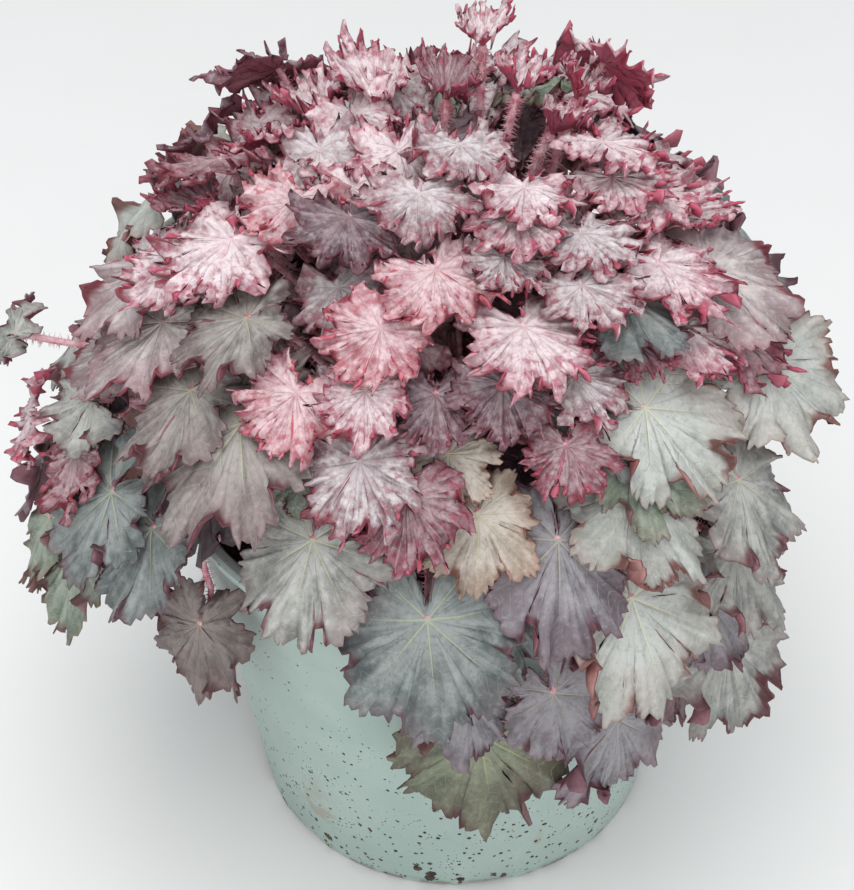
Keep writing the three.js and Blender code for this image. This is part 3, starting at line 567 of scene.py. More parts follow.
# %% One leaf
class Leaf:
    """A leaf's row, with the frame, waves and tilt of its blade."""

    def __init__(self, row, n):
        (self.turn, self.rise, self.reach, self.size, self.swing, self.kind,
         lift, roll, self.finish) = row
        self.n = n
        self.sort = "mature" if self.kind == "m" and self.size > 17 else "young"
        t, r, s = (math.radians(a) for a in (self.turn, self.rise, self.swing))
        mature = self.kind == "m"
        self.size *= 1 if mature else 1.12
        self.out = aim(self.turn, self.rise)
        down = np.array([math.sin(r) * math.sin(t), -math.sin(r) * math.cos(t), -math.cos(r)])
        side = np.array([math.cos(t), math.sin(t), 0])
        self.along = down * math.cos(s) + side * math.sin(s)
        self.across = side * math.cos(s) - down * math.sin(s)
        self.knots = np.array(MATURE if mature else YOUNG, dtype=float)
        self.stretch = -0.04 + 0.16 * draw(n, 11)
        self.bend = 0.9 + 0.5 * draw(n, 12) if mature else 0.2 + 0.8 * draw(n, 12)
        self.cup = 0.75 if self.kind == "c" else 0
        self.wave = (1.2 if mature else 1.3) + 0.7 * draw(n, 13)
        self.waves = 7 if mature else 6 + math.floor(3 * draw(n, 14))
        self.phase = 2 * math.pi * draw(n, 15)
        hanging = 1 if self.rise > 0 else 1 - self.rise / 60
        face = FACE_UP * math.cos(r) * (1 if mature else 0.6) * hanging
        self.level = 0.0
        self.tilt_along = math.tan(math.radians(
            lift + face * math.cos(s) + 10 * (draw(n, 16) - 0.5)))
        self.tilt_across = math.tan(math.radians(
            roll - face * math.sin(s) + 16 * (draw(n, 17) - 0.5)))

    def edge(self, phi):
        """Distance from the stalk to the edge, phi radians from the tip."""
        angle = np.abs((np.degrees(phi) + 540) % 360 - 180)
        share = np.interp(angle, self.knots[:, 0], self.knots[:, 1])
        share = np.where(angle > self.knots[-1, 0], share, share * (
            1 + self.stretch * np.sin(np.radians(angle))))
        return np.maximum(self.size * share, BLADE_BASE)

    def form(self, x, y):
        """Height of the blade's own form: cup, droop and waved margin."""
        r, phi = np.hypot(x, y), np.arctan2(y, x)
        q = np.minimum(r / self.edge(phi), 1.3)
        wave = self.wave * q * q * np.sin(self.waves * phi + self.phase)
        return self.cup * r * (1 - 0.25 * q) - self.bend * r * r / (2 * self.reach) + wave

    def points(self, x, y, extra=0.0):
        """Points of the blade for arrays of blade coordinates x and y."""
        x, y = np.asarray(x, dtype=float), np.asarray(y, dtype=float)
        height = (self.level + self.tilt_along * x + self.tilt_across * y + self.form(x, y)
                  + extra)
        flat = (self.out * self.reach + x[..., None] * self.along + y[..., None] * self.across)
        return flat * (1 + height / self.reach)[..., None] + CENTRE

    def locate(self, ways):
        """Blade coordinates where directions meet the leaf, the facing, and which do meet."""
        facing = ways @ self.out
        safe = np.maximum(facing, 0.5)
        x, y = self.reach * (ways @ self.along) / safe, self.reach * (ways @ self.across) / safe
        return x, y, facing, (facing >= 0.75) & (
            np.hypot(x, y) <= self.edge(np.arctan2(y, x)) + 1.5)


print("tip of the first leaf", round(float(Leaf(SKIRT[0], 0).edge(0.0)), 1), "mm from its stalk")


# %% All the leaves
def far_rows():
    rows = []
    for row_rise, count, size, kind, drop, lift in FAR_ROWS:
        for i in range(count):
            n = 100 + len(rows)
            rise = row_rise + 8 * (draw(n, 2) - 0.5)
            turn = 180 + (i - (count - 1) / 2) * FAR_SPAN / count + 12 * (draw(n, 1) - 0.5)
            look = ("silver", "teal", "mauve", "pale") if kind == "m" else ("rose", "ash", "plum")
            rows.append((turn, rise, dome_reach(rise) - drop + 6 * (draw(n, 3) - 0.5),
                         size * (0.9 + 0.2 * draw(n, 4)), 50 * (draw(n, 5) - 0.5), kind, lift, 0,
                         look[int(len(look) * draw(n, 6))]))
    return rows


def in_lip_gap(turn, rise):
    """Whether a direction lies in the gap through which the lip and the compost show."""
    return -42 < turn < -10 and -12 < rise < 26


def fill_rows(others):
    """Small leaves, low in the mound, wherever no blade of the others lies."""
    placed = [Leaf(row, 0) for row in others]
    rows = []
    for i in range(120):
        rise = math.degrees(math.asin(1 - (i + 0.5) * 0.72 / 120))
        turn = (i * GOLDEN_ANGLE + 180) % 360 - 180
        way = aim(turn, rise)
        if in_lip_gap(turn, rise) or any(leaf.locate(way[None])[3][0] for leaf in placed):
            continue
        if any(way @ aim(row[0], row[1]) > math.cos(math.radians(17)) for row in rows):
            continue
        n = 200 + len(rows)
        mature = rise < 30
        look = ("teal", "mauve", "green") if mature else ("plum", "ash", "rose")
        rows.append((turn, rise, dome_reach(rise) - FILL_DROP + 5 * draw(n, 3),
                     (22 if mature else 17) * (0.9 + 0.25 * draw(n, 4)),
                     80 * (draw(n, 5) - 0.5), "m" if mature else "y", 0, 0,
                     look[int(3 * draw(n, 6))]))
    return rows


others = SKIRT + MIDDLE + TOP + far_rows()
leaves = [Leaf(row, n) for n, row in enumerate(fill_rows(others) + others)]
print("leaves", len(leaves))


# %% Where blades and pot are tested
def spots(leaf):
    """Test spots over a blade, with their directions from the middle of the mound."""
    phi = 2 * math.pi * np.arange(24) / 24
    rings = [leaf.edge(phi) * share for share in (0.3, 0.55, 0.8, 1)]
    x = np.concatenate([[0], *(r * np.cos(phi) for r in rings)])
    y = np.concatenate([[0], *(r * np.sin(phi) for r in rings)])
    ways = leaf.out * leaf.reach + x[:, None] * leaf.along + y[:, None] * leaf.across
    return x, y, ways / np.linalg.norm(ways, axis=1, keepdims=True)


def guard():
    """Directions and distances of the pot's outside, which hanging leaves stay clear of."""
    turn = 2 * math.pi * np.arange(72) / 72
    ring = np.stack([np.cos(turn), np.sin(turn), 0 * turn], axis=1)
    levels = ((148, 96.5), (138, 95), (126, 92), (114, 88), (102, 86))
    away = np.stack([ring * r + (0, 0, z) for z, r in levels], axis=1).reshape(-1, 3) - CENTRE
    distance = np.linalg.norm(away, axis=1)
    return away / distance[:, None], distance


print("test spots on a blade", len(spots(leaves[0])[0]))


# %% Rules of clearance
def clearances(leaves):
    """Every spot where an outer blade has to clear an inner one, or the pot."""
    rules = []
    pot_ways, pot_distance = guard()
    for leaf in leaves:
        leaf.spots = spots(leaf)

    def seat(leaf, x, y, facing):
        return list(zip([leaf] * len(x), x.tolist(), y.tolist(), (1 / facing).tolist(),
                        ((leaf.reach + leaf.form(x, y)) / facing).tolist()))

    for j, outer in enumerate(leaves):
        x, y, facing, met = outer.locate(pot_ways)
        over = seat(outer, x[met], y[met], facing[met])
        rules += [(a, None, need) for a, need in zip(over, pot_distance[met] + POT_ROOM)]
        for inner in leaves[:j]:
            if outer.out @ inner.out < math.cos((outer.size + inner.size + 6) / 115):
                continue
            for mine, other in ((inner, outer), (outer, inner)):
                sx, sy, ways = mine.spots
                x, y, facing, met = other.locate(ways)
                if not met.any():
                    continue
                first = seat(mine, sx[met], sy[met], (ways @ mine.out)[met])
                second = seat(other, x[met], y[met], facing[met])
                pairs = zip(second, first) if mine is inner else zip(first, second)
                rules += [(a, b, ROOM) for a, b in pairs]
    return rules


# %% Lay blade over blade
def settle(leaves):
    """Moves and tilts the blades a little at a time until each lies clear over those below."""
    rules = clearances(leaves)
    for leaf in leaves:
        leaf.width = (leaf.size * 0.8) ** 2

    def lean(leaf, x, y, slant, _):
        return slant * (leaf.level + leaf.tilt_along * x + leaf.tilt_across * y)

    def give(leaf, x, y, slant, _):
        return slant * slant * (1 + (x * x + y * y) / leaf.width)

    def push(leaf, x, y, slant, amount):
        leaf.level += amount * slant
        leaf.tilt_along += amount * slant * x / leaf.width
        leaf.tilt_across += amount * slant * y / leaf.width

    for _ in range(SWEEPS):
        for outer, inner, need in rules:
            short = need - outer[4] - lean(*outer)
            if inner:
                short += inner[4] + lean(*inner)
            if short <= 0.01:
                continue
            amount = short / (give(*outer) + (give(*inner) if inner else 0))
            push(*outer[:4], amount)
            if inner:
                push(*inner[:4], -amount)
        for leaf in leaves:
            steep = math.hypot(leaf.tilt_along, leaf.tilt_across)
            if steep > STEEPEST:
                leaf.tilt_along *= STEEPEST / steep
                leaf.tilt_across *= STEEPEST / steep
    return len(rules)


print("clearance rules", settle(leaves))


# %% [markdown]
# ### Leaves within the mound
# Between the outer leaves one looks down on younger and older ones, and behind the tallest
# stalks stand a few more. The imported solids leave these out. Two layers are spread evenly
# by the golden angle, and each leaf is sunk until it lies clear under all that lie over it.

# %% Sink a leaf
def sink(leaf, above, room):
    """Lowers a leaf until it lies under every one of the leaves above it."""
    x, y, ways = spots(leaf)
    facing = ways @ leaf.out
    mine = (leaf.reach + leaf.tilt_along * x + leaf.tilt_across * y + leaf.form(x, y)) / facing
    for other in above:
        ox, oy, turned, met = other.locate(ways)
        if met.any():
            height = other.level + other.tilt_along * ox + other.tilt_across * oy
            over = (other.reach + height + other.form(ox, oy))[met] / turned[met]
            leaf.level = min(leaf.level, float((over - room - mine[met]).min()))


# %% Layers of inner leaves
def inner_rows(first, count, lowest, depth, sizes, looks):
    """Rows spread evenly round and over the mound, at a depth under its outer leaves."""
    rows = []
    for i in range(count):
        n = first + i
        rise = math.degrees(math.asin(0.985 - (i + 0.5) * (0.985 - lowest) / count))
        turn = (i * GOLDEN_ANGLE + 200) % 360 - 180
        zone = (rise > 34) + (rise > 52)
        rows.append((turn, rise, dome_reach(rise) - depth, sizes[zone] * (0.85 + 0.3 * draw(n, 4)),
                     360 * (draw(n, 5) - 0.5), "y" if zone else "m", 0, 0,
                     looks[zone][int(len(looks[zone]) * draw(n, 6))]))
    return rows


# The inner leaves take darker looks the lower and deeper they lie, down to the shadow look: painted
# shade where the outer leaves shade them.
DARK = ("shadow", "wine")
# first number, leaves, sine of the lowest rise, depth, and sizes and looks from low to high
LAYERS = ((300, 60, 0.36, 11, (18, 15, 14), (DARK, ("plum", "ash", "crimson"), ("rose", "ash"))),
          (400, 64, -0.16, 36, (25, 22, 20), (DARK, ("shadow", "plum"), ("plum", "ash"))))
print("layers", len(LAYERS))

# %% Leaves behind the tall stalks
TUFT = [
    (-103, 60, 108, 15, 85, "y", -26, 0, "rose"), (-115, 65, 108, 14, 130, "y", -26, 0, "ash"),
    (-65, 70, 108, 16, 50, "y", -30, 0, "ash"), (-80, 77, 109, 15, 96, "y", -30, 0, "rose"),
    (-120, 82, 109, 14, 104, "y", -24, 0, "ash"), (-25, 77, 108, 16, 40, "y", -28, 0, "rose"),
    (178, 58, 100, 16, 178, "y", -34, 0, "green"), (152, 60, 107, 17, 152, "y", -34, 0, "ash"),
    (-165, 62, 98, 16, -165, "y", -34, 0, "ash"), (128, 64, 108, 16, 128, "y", -30, 0, "green"),
    # These four far leaves take the shadow look, painted shade that closes the view through the
    # mound.
    (-151, -7, 92, 26, 0, "m", 0, 0, "shadow"), (-139, 4, 92, 25, 0, "m", 0, 0, "shadow"),
    (142, 14, 90, 24, 0, "m", 0, 0, "shadow"), (151, -5, 92, 25, 0, "m", 0, 0, "shadow"),
    (147, 56, 90, 15, 147, "y", -38, 0, "plum"),
    (96, 58, 84, 17, 96, "y", -30, 0, "ash"), (-150, 72, 84, 16, -150, "y", -34, 0, "green"),
    (-83, 56, 108, 14, 60, "y", -20, 0, "rose"), (-60, 61, 108, 15, 76, "y", -20, 0, "ash"),
    (-36, 68, 107, 14, 20, "y", -20, 0, "rose"),
]
# a cupped leaf's funnel rises over its plain form, so its foot starts a little lower
for leaf in leaves:
    leaf.level -= 4 * (leaf.kind == "c")
inner = [Leaf(row, 500 + i) for i, row in enumerate(TUFT)]
for leaf in inner:
    leaf.sort = "inner" if leaf.kind == "m" else leaf.sort
print("leaves in the tuft", len(inner))

# %% Sink the layers in
for first, *rule in LAYERS:
    for i, row in enumerate(inner_rows(first, *rule)):
        if in_lip_gap(row[0], row[1]):
            continue
        leaf = Leaf(row, first + i)
        sink(leaf, leaves + inner, 5)
        if leaf.level > -30:
            leaf.sort = "inner"
            inner.append(leaf)
print("inner leaves", len(inner), "mean depth", sum(leaf.level for leaf in inner) / len(inner))

# %% [markdown]
# ## Stalks
# Each stalk rises from the crown, bends out under the mound and meets its blade at the notch.
# Low leaves lean out over the lip of the pot and come down again. The large leaves are
# rooted in two rings, and the small ones in short shoots, as the plant's crown branches.

# %% Roots
LOW_RISE, TOP_RISE, LARGE = 14, 72, 24
SHOOTS, SHOOT_RING = 12, 18


def is_large(leaf):
    return leaf.kind == "m" and leaf.size >= LARGE


large = [leaf for leaf in leaves if is_large(leaf)]
for ring, low_ring in ((38, True), (29, False)):
    members = sorted((leaf for leaf in large if (leaf.rise < LOW_RISE) == low_ring),
                     key=lambda leaf: leaf.turn % 360)
    lag = sum(leaf.turn % 360 - 360 * i / len(members)
              for i, leaf in enumerate(members)) / len(members)
    for i, leaf in enumerate(members):
        t = math.radians(360 * i / len(members) + lag)
        leaf.root = np.array([ring * math.sin(t), -ring * math.cos(t), SOIL_TOP - 11])


def shoot_of(leaf):
    """The number of the shoot that a small leaf grows from; 0 is the middle one."""
    step = 360 / SHOOTS
    return 0 if leaf.rise > TOP_RISE else 1 + (math.floor(leaf.turn / step + 0.5) + SHOOTS) % SHOOTS


shoots = {}
for leaf in [leaf for leaf in leaves if not is_large(leaf)] + inner:
    shoots.setdefault(shoot_of(leaf), []).append(leaf)
for number, members in shoots.items():
    t = math.radians((number - 1) * 360 / SHOOTS)
    foot = SHOOT_RING * np.array([math.sin(t), -math.cos(t), 0]) * (number > 0)
    foot[2] = SOIL_TOP
    outer = [leaf.out for leaf in members if leaf not in inner]
    mean = sum(outer) / len(outer)
    for leaf in members:
        offset = (leaf.out - mean) * (12, 12, 0)
        length = np.linalg.norm(offset)
        leaf.root = foot + offset * min(1, 2.3 / max(length, 1e-9)) + (0, 0, 4.5)
    shoots[number] = (foot, members)
print("large leaves", len(large), "shoots", sorted(shoots))


# %% Ways of the stalks
def through(points, count):
    """Points on a smooth curve through the given ones, closer to them where they are close."""
    points = [2 * points[0] - points[1], *points, 2 * points[-1] - points[-2]]
    result = []
    for u in np.linspace(0, len(points) - 3, count):
        i = min(int(u), len(points) - 4)
        p0, p1, p2, p3 = points[i:i + 4]
        d0, d1, d2 = (math.sqrt(np.linalg.norm(b - a)) for a, b in ((p0, p1), (p1, p2), (p2, p3)))
        m1 = d1 * ((p1 - p0) / d0 - (p2 - p0) / (d0 + d1) + (p2 - p1) / d1)
        m2 = d1 * ((p2 - p1) / d1 - (p3 - p1) / (d1 + d2) + (p3 - p2) / d2)
        w = u - i
        result.append(p1 + m1 * w + (3 * (p2 - p1) - 2 * m1 - m2) * w ** 2
                      + (2 * (p1 - p2) + m1 + m2) * w ** 3)
    return np.array(result)


def stalk_way(leaf, count):
    """Points from the root to the underside of the blade."""
    end = leaf.points(0, 0, -BLADE - 1.6)
    neck = leaf.points(0, 0, -0.3)
    if end[2] < POT["tall"] + 12:
        square = (leaf.out - leaf.along * leaf.tilt_along - leaf.across * leaf.tilt_across)
        last = end - 4.5 * square / np.linalg.norm(square) + (0, 0, 7.5)
        outward = np.array([end[0], end[1], 0]) / math.hypot(end[0], end[1])
        inside = outward * (POT["rim"] - 9) + (0, 0, POT["tall"] + 8)
        outside = outward * (POT["rim"] + 3.6) + (0, 0, POT["tall"] + 3.4)
        way = through([leaf.root, leaf.root + (0, 0, 18), inside, outside, last, end], count - 1)
    else:
        lead = leaf.out + leaf.along * 0.25
        before = end - lead / np.linalg.norm(lead) * (30 if leaf.kind == "m" else 24)
        after = leaf.root + (0, 0, 38)
        u = np.linspace(0, 1, count - 1)[:, None]
        way = ((1 - u) ** 3 * leaf.root + 3 * u * (1 - u) ** 2 * after
               + 3 * u * u * (1 - u) * before + u ** 3 * end)
    return np.vstack([way, neck])


print("a stalk's length", round(float(np.linalg.norm(np.diff(
    stalk_way(large[0], 20), axis=0), axis=1).sum()), 1))


# %% [markdown]
# ## A stalk with its hairs
# Leaf stalks of heuchera are thin, pink and clothed in fine white hairs. A straight stalk is
# made by extruding a disc step by step. It is kept bare for the inner leaves, gets hairs
# for the outer ones, and gets many more for the cupped young leaves: a three-sided hair is
# copied over it. Every leaf takes a copy, bent along its own way, so the hairs stand off
# the bent stalk as they did off the straight one.

# %% Straight stalk
def straight_stalk(name, steps, sides):
    """A straight rod of radius 1, one unit for each step."""
    clear()
    bpy.ops.mesh.primitive_circle_add(vertices=sides, radius=1, fill_type="NGON")
    rod = bpy.context.object
    rod.name = name
    bpy.ops.object.mode_set(mode="EDIT")
    bpy.ops.mesh.select_all(action="SELECT")
    for _ in range(steps):
        bpy.ops.mesh.extrude_region_move(TRANSFORM_OT_translate={"value": (0, 0, 1)})
    bpy.ops.mesh.select_all(action="SELECT")
    bpy.ops.mesh.normals_make_consistent(inside=False)
    bpy.ops.object.mode_set(mode="OBJECT")
    bpy.ops.object.shade_smooth()
    rod.data.materials.append(None)
    rod.data.materials.append(None)
    attribute = rod.data.attributes.new("root", "FLOAT", "POINT")
    attribute.data.foreach_set("value", [-1.0] * len(rod.data.vertices))
    return rod


bare, hairy = straight_stalk("bare_stalk", 10, 6), straight_stalk("hairy_stalk", 16, 6)
woolly = straight_stalk("woolly_stalk", 16, 8)
print("stalk corners", len(bare.data.vertices), len(hairy.data.vertices))

# %% Hairs on the straight stalk
clear()
bpy.ops.mesh.primitive_cone_add(vertices=3, radius1=0.17, radius2=0, depth=1,
                                location=(0, 0, 0.5), end_fill_type="NGON")
hair = bpy.context.object
bpy.ops.object.transform_apply(location=True)


def clothe(rod, name, hairs):
    """Sets hairs over a rod, standing off it, and joins them."""
    parts = [rod]
    for i in range(hairs):
        piece = hair.copy()
        piece.data = hair.data.copy()
        bpy.context.collection.objects.link(piece)
        turn = 2 * math.pi * draw(i, 61)
        level = 16 * (0.99 - 0.89 * ((i + draw(i, 62)) / hairs) ** 1.5)
        piece.scale = (1, 1, 1.4 + 1.1 * draw(i, 63))
        piece.rotation_euler = (0, math.radians(90 + 50 * (draw(i, 64) - 0.5)), turn)
        piece.location = (0.9 * math.cos(turn), 0.9 * math.sin(turn), level)
        mark = piece.data.attributes.new("root", "FLOAT", "POINT")
        mark.data.foreach_set("value", [level] * len(piece.data.vertices))
        piece.data.materials.append(None)
        piece.data.materials.append(None)
        piece.data.polygons.foreach_set("material_index", [1] * len(piece.data.polygons))
        parts.append(piece)
    return join(parts, name)


hairy, woolly = clothe(hairy, "hairy_stalk", 230), clothe(woolly, "woolly_stalk", 760)
bpy.data.objects.remove(hair)
STALKS = {}
for title, rod, steps in (("bare", bare, 10), ("hairy", hairy, 16), ("woolly", woolly, 16)):
    only(rod)
    bpy.ops.object.transform_apply(location=True, rotation=True, scale=True)
    at = corners(rod.data)
    root_level = np.zeros(len(at))
    rod.data.attributes["root"].data.foreach_get("value", root_level)
    STALKS[title] = dict(object=rod, at=at, root=root_level, count=steps + 1,
                         level=np.where(root_level >= 0, root_level, at[:, 2]))
print("stalk with hairs", len(hairy.data.polygons), "faces")


# %% Bend a copy along a way
def even_way(leaf, count):
    """A stalk's way as points with the same distance from each to the next."""
    way = stalk_way(leaf, 40)
    run = np.concatenate([[0], np.cumsum(np.linalg.norm(np.diff(way, axis=0), axis=1))])
    even = np.linspace(0, run[-1], count)
    return np.stack([np.interp(even, run, way[:, k]) for k in range(3)], axis=1)


def carried_frame(way, turn):
    """Directions ahead, aside and square to both at every point, carried on without a twist."""
    ahead = np.gradient(way, axis=0)
    ahead /= np.linalg.norm(ahead, axis=1, keepdims=True)
    side = np.zeros_like(way)
    last = np.array([math.cos(math.radians(turn)), math.sin(math.radians(turn)), 0.02])
    for i in range(len(way)):
        last = last - ahead[i] * (last @ ahead[i])
        last = last / np.linalg.norm(last)
        side[i] = last
    return ahead, side, np.cross(ahead, side)


def stalk_radius(leaf, count):
    """A stalk tapers a little, and swells at its root and under its blade."""
    return {"m": 1.2, "y": 1.0, "c": 1.25}[leaf.kind] * (
        1.0 - 0.12 * np.linspace(0, 1, count)
        + 0.3 * np.exp(-np.linspace(0, 12, count)) + 0.2 * np.exp(-np.linspace(14, 0, count)))


def bent_stalk(leaf, name):
    """A copy of the straight stalk along the leaf's own way."""
    stalk = STALKS["bare" if leaf.sort == "inner" else "woolly" if leaf.kind == "c" else "hairy"]
    count, straight, is_hair = stalk["count"], stalk["at"], stalk["root"] >= 0
    way = even_way(leaf, count)

    def at_level(values):
        return np.interp(stalk["level"], np.arange(count), values)

    middle, ahead, side, third = (
        np.stack([at_level(rows[:, k]) for k in range(3)], axis=1)
        for rows in (way, *carried_frame(way, leaf.turn)))
    thick = at_level(stalk_radius(leaf, count))
    grown = np.hypot(straight[:, 0], straight[:, 1])
    beyond = np.where(is_hair, (thick + grown - 1) / np.maximum(grown, 1e-6), thick)[:, None]
    rise = np.where(is_hair, straight[:, 2] - stalk["root"], 0)[:, None]
    placed = (middle + side * straight[:, :1] * beyond + third * straight[:, 1:2] * beyond
              + ahead * rise)
    mesh = stalk["object"].data.copy()
    mesh.attributes.remove(mesh.attributes["root"])
    mesh.vertices.foreach_set("co", (placed * MM).ravel())
    piece = bpy.data.objects.new(name, mesh)
    bpy.context.collection.objects.link(piece)
    return piece


# %% [markdown]
# ## The leaf blade
# A blade is a fan of lobes round the stalk, each with its main vein, cut by rounded teeth.
# The margin is longer than the blade is wide, so it cannot lie flat and runs in ruffles. A
# flat polar blank is modelled once for the mature, the young and the inner leaf: a circle is
# extruded inwards ring by ring. Each leaf takes a copy, whose spokes are stretched to the
# leaf's toothed outline and which is then laid over the mound. Spokes follow the main
# veins, so that veins stay sharp.

# %% Blade blanks
def blade_blank(name, spokes, rings):
    """A flat disc of spokes and rings, built inwards from its rim."""
    clear()
    bpy.ops.mesh.primitive_circle_add(vertices=spokes, radius=1)
    blank = bpy.context.object
    blank.name = name
    bpy.ops.object.mode_set(mode="EDIT")
    bpy.ops.mesh.select_all(action="SELECT")
    size = 1.0
    for ring in rings:
        bpy.ops.mesh.extrude_edges_move()
        bpy.ops.transform.resize(value=(ring / size,) * 3, center_override=(0, 0, 0))
        size = ring
    bpy.ops.mesh.extrude_edges_move()
    bpy.ops.mesh.merge(type="CENTER")
    bpy.ops.object.mode_set(mode="OBJECT")
    if blank.data.polygons[0].normal.z < 0:
        blank.data.flip_normals()
    bpy.ops.object.shade_smooth()
    at = corners(blank.data)
    q = np.hypot(at[:, 0], at[:, 1])
    spoke = np.round(np.arctan2(at[:, 1], at[:, 0]) / (2 * math.pi) * spokes).astype(int) % spokes
    print(name, len(blank.data.polygons), "faces")
    return dict(mesh=blank.data, object=blank, q=q, spoke=spoke)


# Degrees of the main veins, and the samples of a half outline between them.
VEINS = {"m": (0, 45, 91, 134), "y": (0, 34, 72, 115), "c": (0, 34, 72, 115)}
CLEFTS = {"m": (22, 68, 119, 171), "y": (17, 52, 93, 142), "c": (17, 52, 93, 142)}
SAMPLES = {"mature": (25, 22, 20, 17), "young": (20, 17, 15, 14), "inner": (11, 10, 8, 7)}
BLANKS = {
    "mature": blade_blank("mature_blank", 168, (0.95, 0.87, 0.77, 0.63, 0.46, 0.28, 0.08)),
    "young": blade_blank("young_blank", 132, (0.92, 0.82, 0.68, 0.5, 0.3, 0.08)),
    "inner": blade_blank("inner_blank", 72, (0.86, 0.62, 0.34, 0.08)),
}


# %% Numbers of a margin
# A tooth, a bay, a wave and a grain are shares of the leaf's size. Heights are millimetres
# on a leaf of the usual size.
OLD = dict(usual=36, filled=0.22, teeth=(1.0, 0.5, -0.7), tooth=0.040, bay=9, bay_deep=0.026,
           wave=0.46, ruffle=2.9, crisp_wave=0.21, crisp=1.5, crisp_in=0, sway=0.4, lobe=22.5,
           grain=0.27, crumple=0.6, turned=2.0, rolled=4.4, rolled_in=0.16, pit_wide=7, pit=6.0,
           folds=2.8)
FRESH = dict(usual=18, filled=0.40, teeth=(0.7, 0.85, 0.1, -0.9), tooth=0.045, bay=7,
             bay_deep=0.040, wave=0.36, ruffle=2.6, crisp_wave=0.19, crisp=2.1, crisp_in=0.05,
             sway=1.1, lobe=18, grain=0.30, crumple=1.15, turned=1.2, rolled=1.8,
             rolled_in=0.06, pit_wide=8, pit=1.7, folds=4.0)
MARGIN = {"m": OLD, "y": FRESH, "c": dict(FRESH, tooth=0.028, crisp=1.1, rolled=0.8, pit=0.8)}
print("margins", list(MARGIN))


# %% Outline without teeth
def lobes(leaf, angle):
    """The reach at angles from 0 to 180, as a share of the leaf's size, with rounded lobes."""
    a, r = np.append(leaf.knots[:, 0], 180.0), np.append(leaf.knots[:, 1], leaf.knots[-1, 1])
    clefts, axes = CLEFTS[leaf.kind], VEINS[leaf.kind]
    lobe = np.searchsorted(clefts, angle)
    axis = np.append(axes, 180.0)[lobe]
    left, right = np.append(0.0, clefts)[lobe], np.append(clefts, 180.0)[lobe]
    half = np.maximum(np.where(angle < axis, axis - left, right - axis), 1e-6)
    off = np.clip(np.abs(angle - axis) / half, 0, 1) ** 1.45
    angle_in = axis + np.sign(angle - axis) * off * half
    slope = np.gradient(r, a)
    slope[0] = slope[-1] = 0
    i = np.clip(np.searchsorted(a, angle_in, side="right") - 1, 0, len(a) - 2)
    w = a[i + 1] - a[i]
    u = (angle_in - a[i]) / w
    share = ((1 + 2 * u) * (1 - u) ** 2 * r[i] + u * (1 - u) ** 2 * w * slope[i]
             + u * u * (3 - 2 * u) * r[i + 1] + u * u * (u - 1) * w * slope[i + 1])
    tips = np.interp(angle, axes, np.interp(axes, a, r))
    filled = MARGIN[leaf.kind]["filled"] * (angle < axes[-1])
    return share + filled * np.maximum(tips - share, 0)


def smooth_reach(leaf, angle, hand):
    """The outline's reach in millimetres, a little different on each hand."""
    share = lobes(leaf, angle) * (1 + leaf.stretch * np.sin(np.radians(angle)))
    near_axis = np.clip(angle / 30, 0, 1) * np.clip((175 - angle) / 20, 0, 1)
    uneven = 1 + 0.05 * near_axis * np.sin(
        np.radians(angle) * 5 + 6.3 * draw(leaf.n, 71 + hand))
    return np.maximum(leaf.size * share * uneven, BLADE_BASE)


def smooth_half(leaf, hand):
    """One half of the rim from the tip to the cleft: points and arc positions."""
    ends = [*VEINS[leaf.kind], 180]
    points, arc, done = [], [], 0.0
    for start, end, count in zip(ends, ends[1:], SAMPLES[leaf.sort]):
        fine = np.linspace(start, end, 120)
        reach = smooth_reach(leaf, fine, hand)
        line = np.stack([reach * np.cos(np.radians(fine)), reach * np.sin(np.radians(fine))], 1)
        run = np.concatenate([[0], np.cumsum(np.linalg.norm(np.diff(line, axis=0), axis=1))])
        even = np.linspace(0, run[-1], count + 1)
        take = even if end == 180 else even[:-1]
        points.append(np.stack([np.interp(take, run, line[:, k]) for k in range(2)], axis=1))
        arc.append(done + take)
        done += run[-1]
    return np.vstack(points), np.concatenate(arc)


print("half a rim", round(float(smooth_half(large[0], 0)[1][-1]), 1), "mm")


# %% Teeth
def toothed(leaf, points, hand):
    """Moves the points of a half rim for its bays and its uneven teeth."""
    margin, counts = MARGIN[leaf.kind], np.array(SAMPLES[leaf.sort])
    teeth, total, index = margin["teeth"], len(points), np.arange(len(points))
    ahead = np.gradient(points, axis=0)
    ahead /= np.linalg.norm(ahead, axis=1, keepdims=True)
    outward = np.stack([ahead[:, 1], -ahead[:, 0]], axis=1)
    starts = np.concatenate([[0], np.cumsum(counts)])
    segment = np.clip(np.searchsorted(starts, index, side="right") - 1, 0, len(counts) - 1)
    since = index - starts[segment]
    falling = since < counts[segment] / 2
    phase = index % len(teeth)
    lift = np.array(teeth)[np.where(falling, phase, len(teeth) - 1 - phase)]
    vary = np.array([0.5 + 0.9 * draw(leaf.n * 7 + k + 400 * hand, 31) for k in range(total)])
    size = margin["tooth"] * leaf.size
    lift = lift * size * vary[index // len(teeth)]
    lean = np.where(falling, -1.0, 1.0) * np.where(lift > 0.8, 0.4, 0) * size * (index > 0)
    fade = np.clip((total - 1 - index) / 6, 0, 1) * np.where(index == 0, 0.6, 1)
    bays = margin["bay_deep"] * leaf.size * (index < total - 8) * np.cos(
        2 * math.pi * since / margin["bay"])
    return points + outward * (bays + lift * fade)[:, None] + ahead * (lean * fade)[:, None]


def half_outline(leaf, hand):
    """One half of the rim with teeth: points, arc positions and angles, ever further round."""
    smooth, arc = smooth_half(leaf, hand)
    points = toothed(leaf, smooth, hand)
    angle = np.arctan2(points[:, 1], points[:, 0])
    angle[0], angle[-1] = 0, math.pi
    angle = np.minimum(np.maximum.accumulate(angle) + np.arange(len(points)) * 1e-4, math.pi)
    radius = np.maximum(np.hypot(points[:, 0], points[:, 1]), BLADE_BASE * 0.8)
    return np.stack([radius * np.cos(angle), radius * np.sin(angle)], axis=1), arc, angle


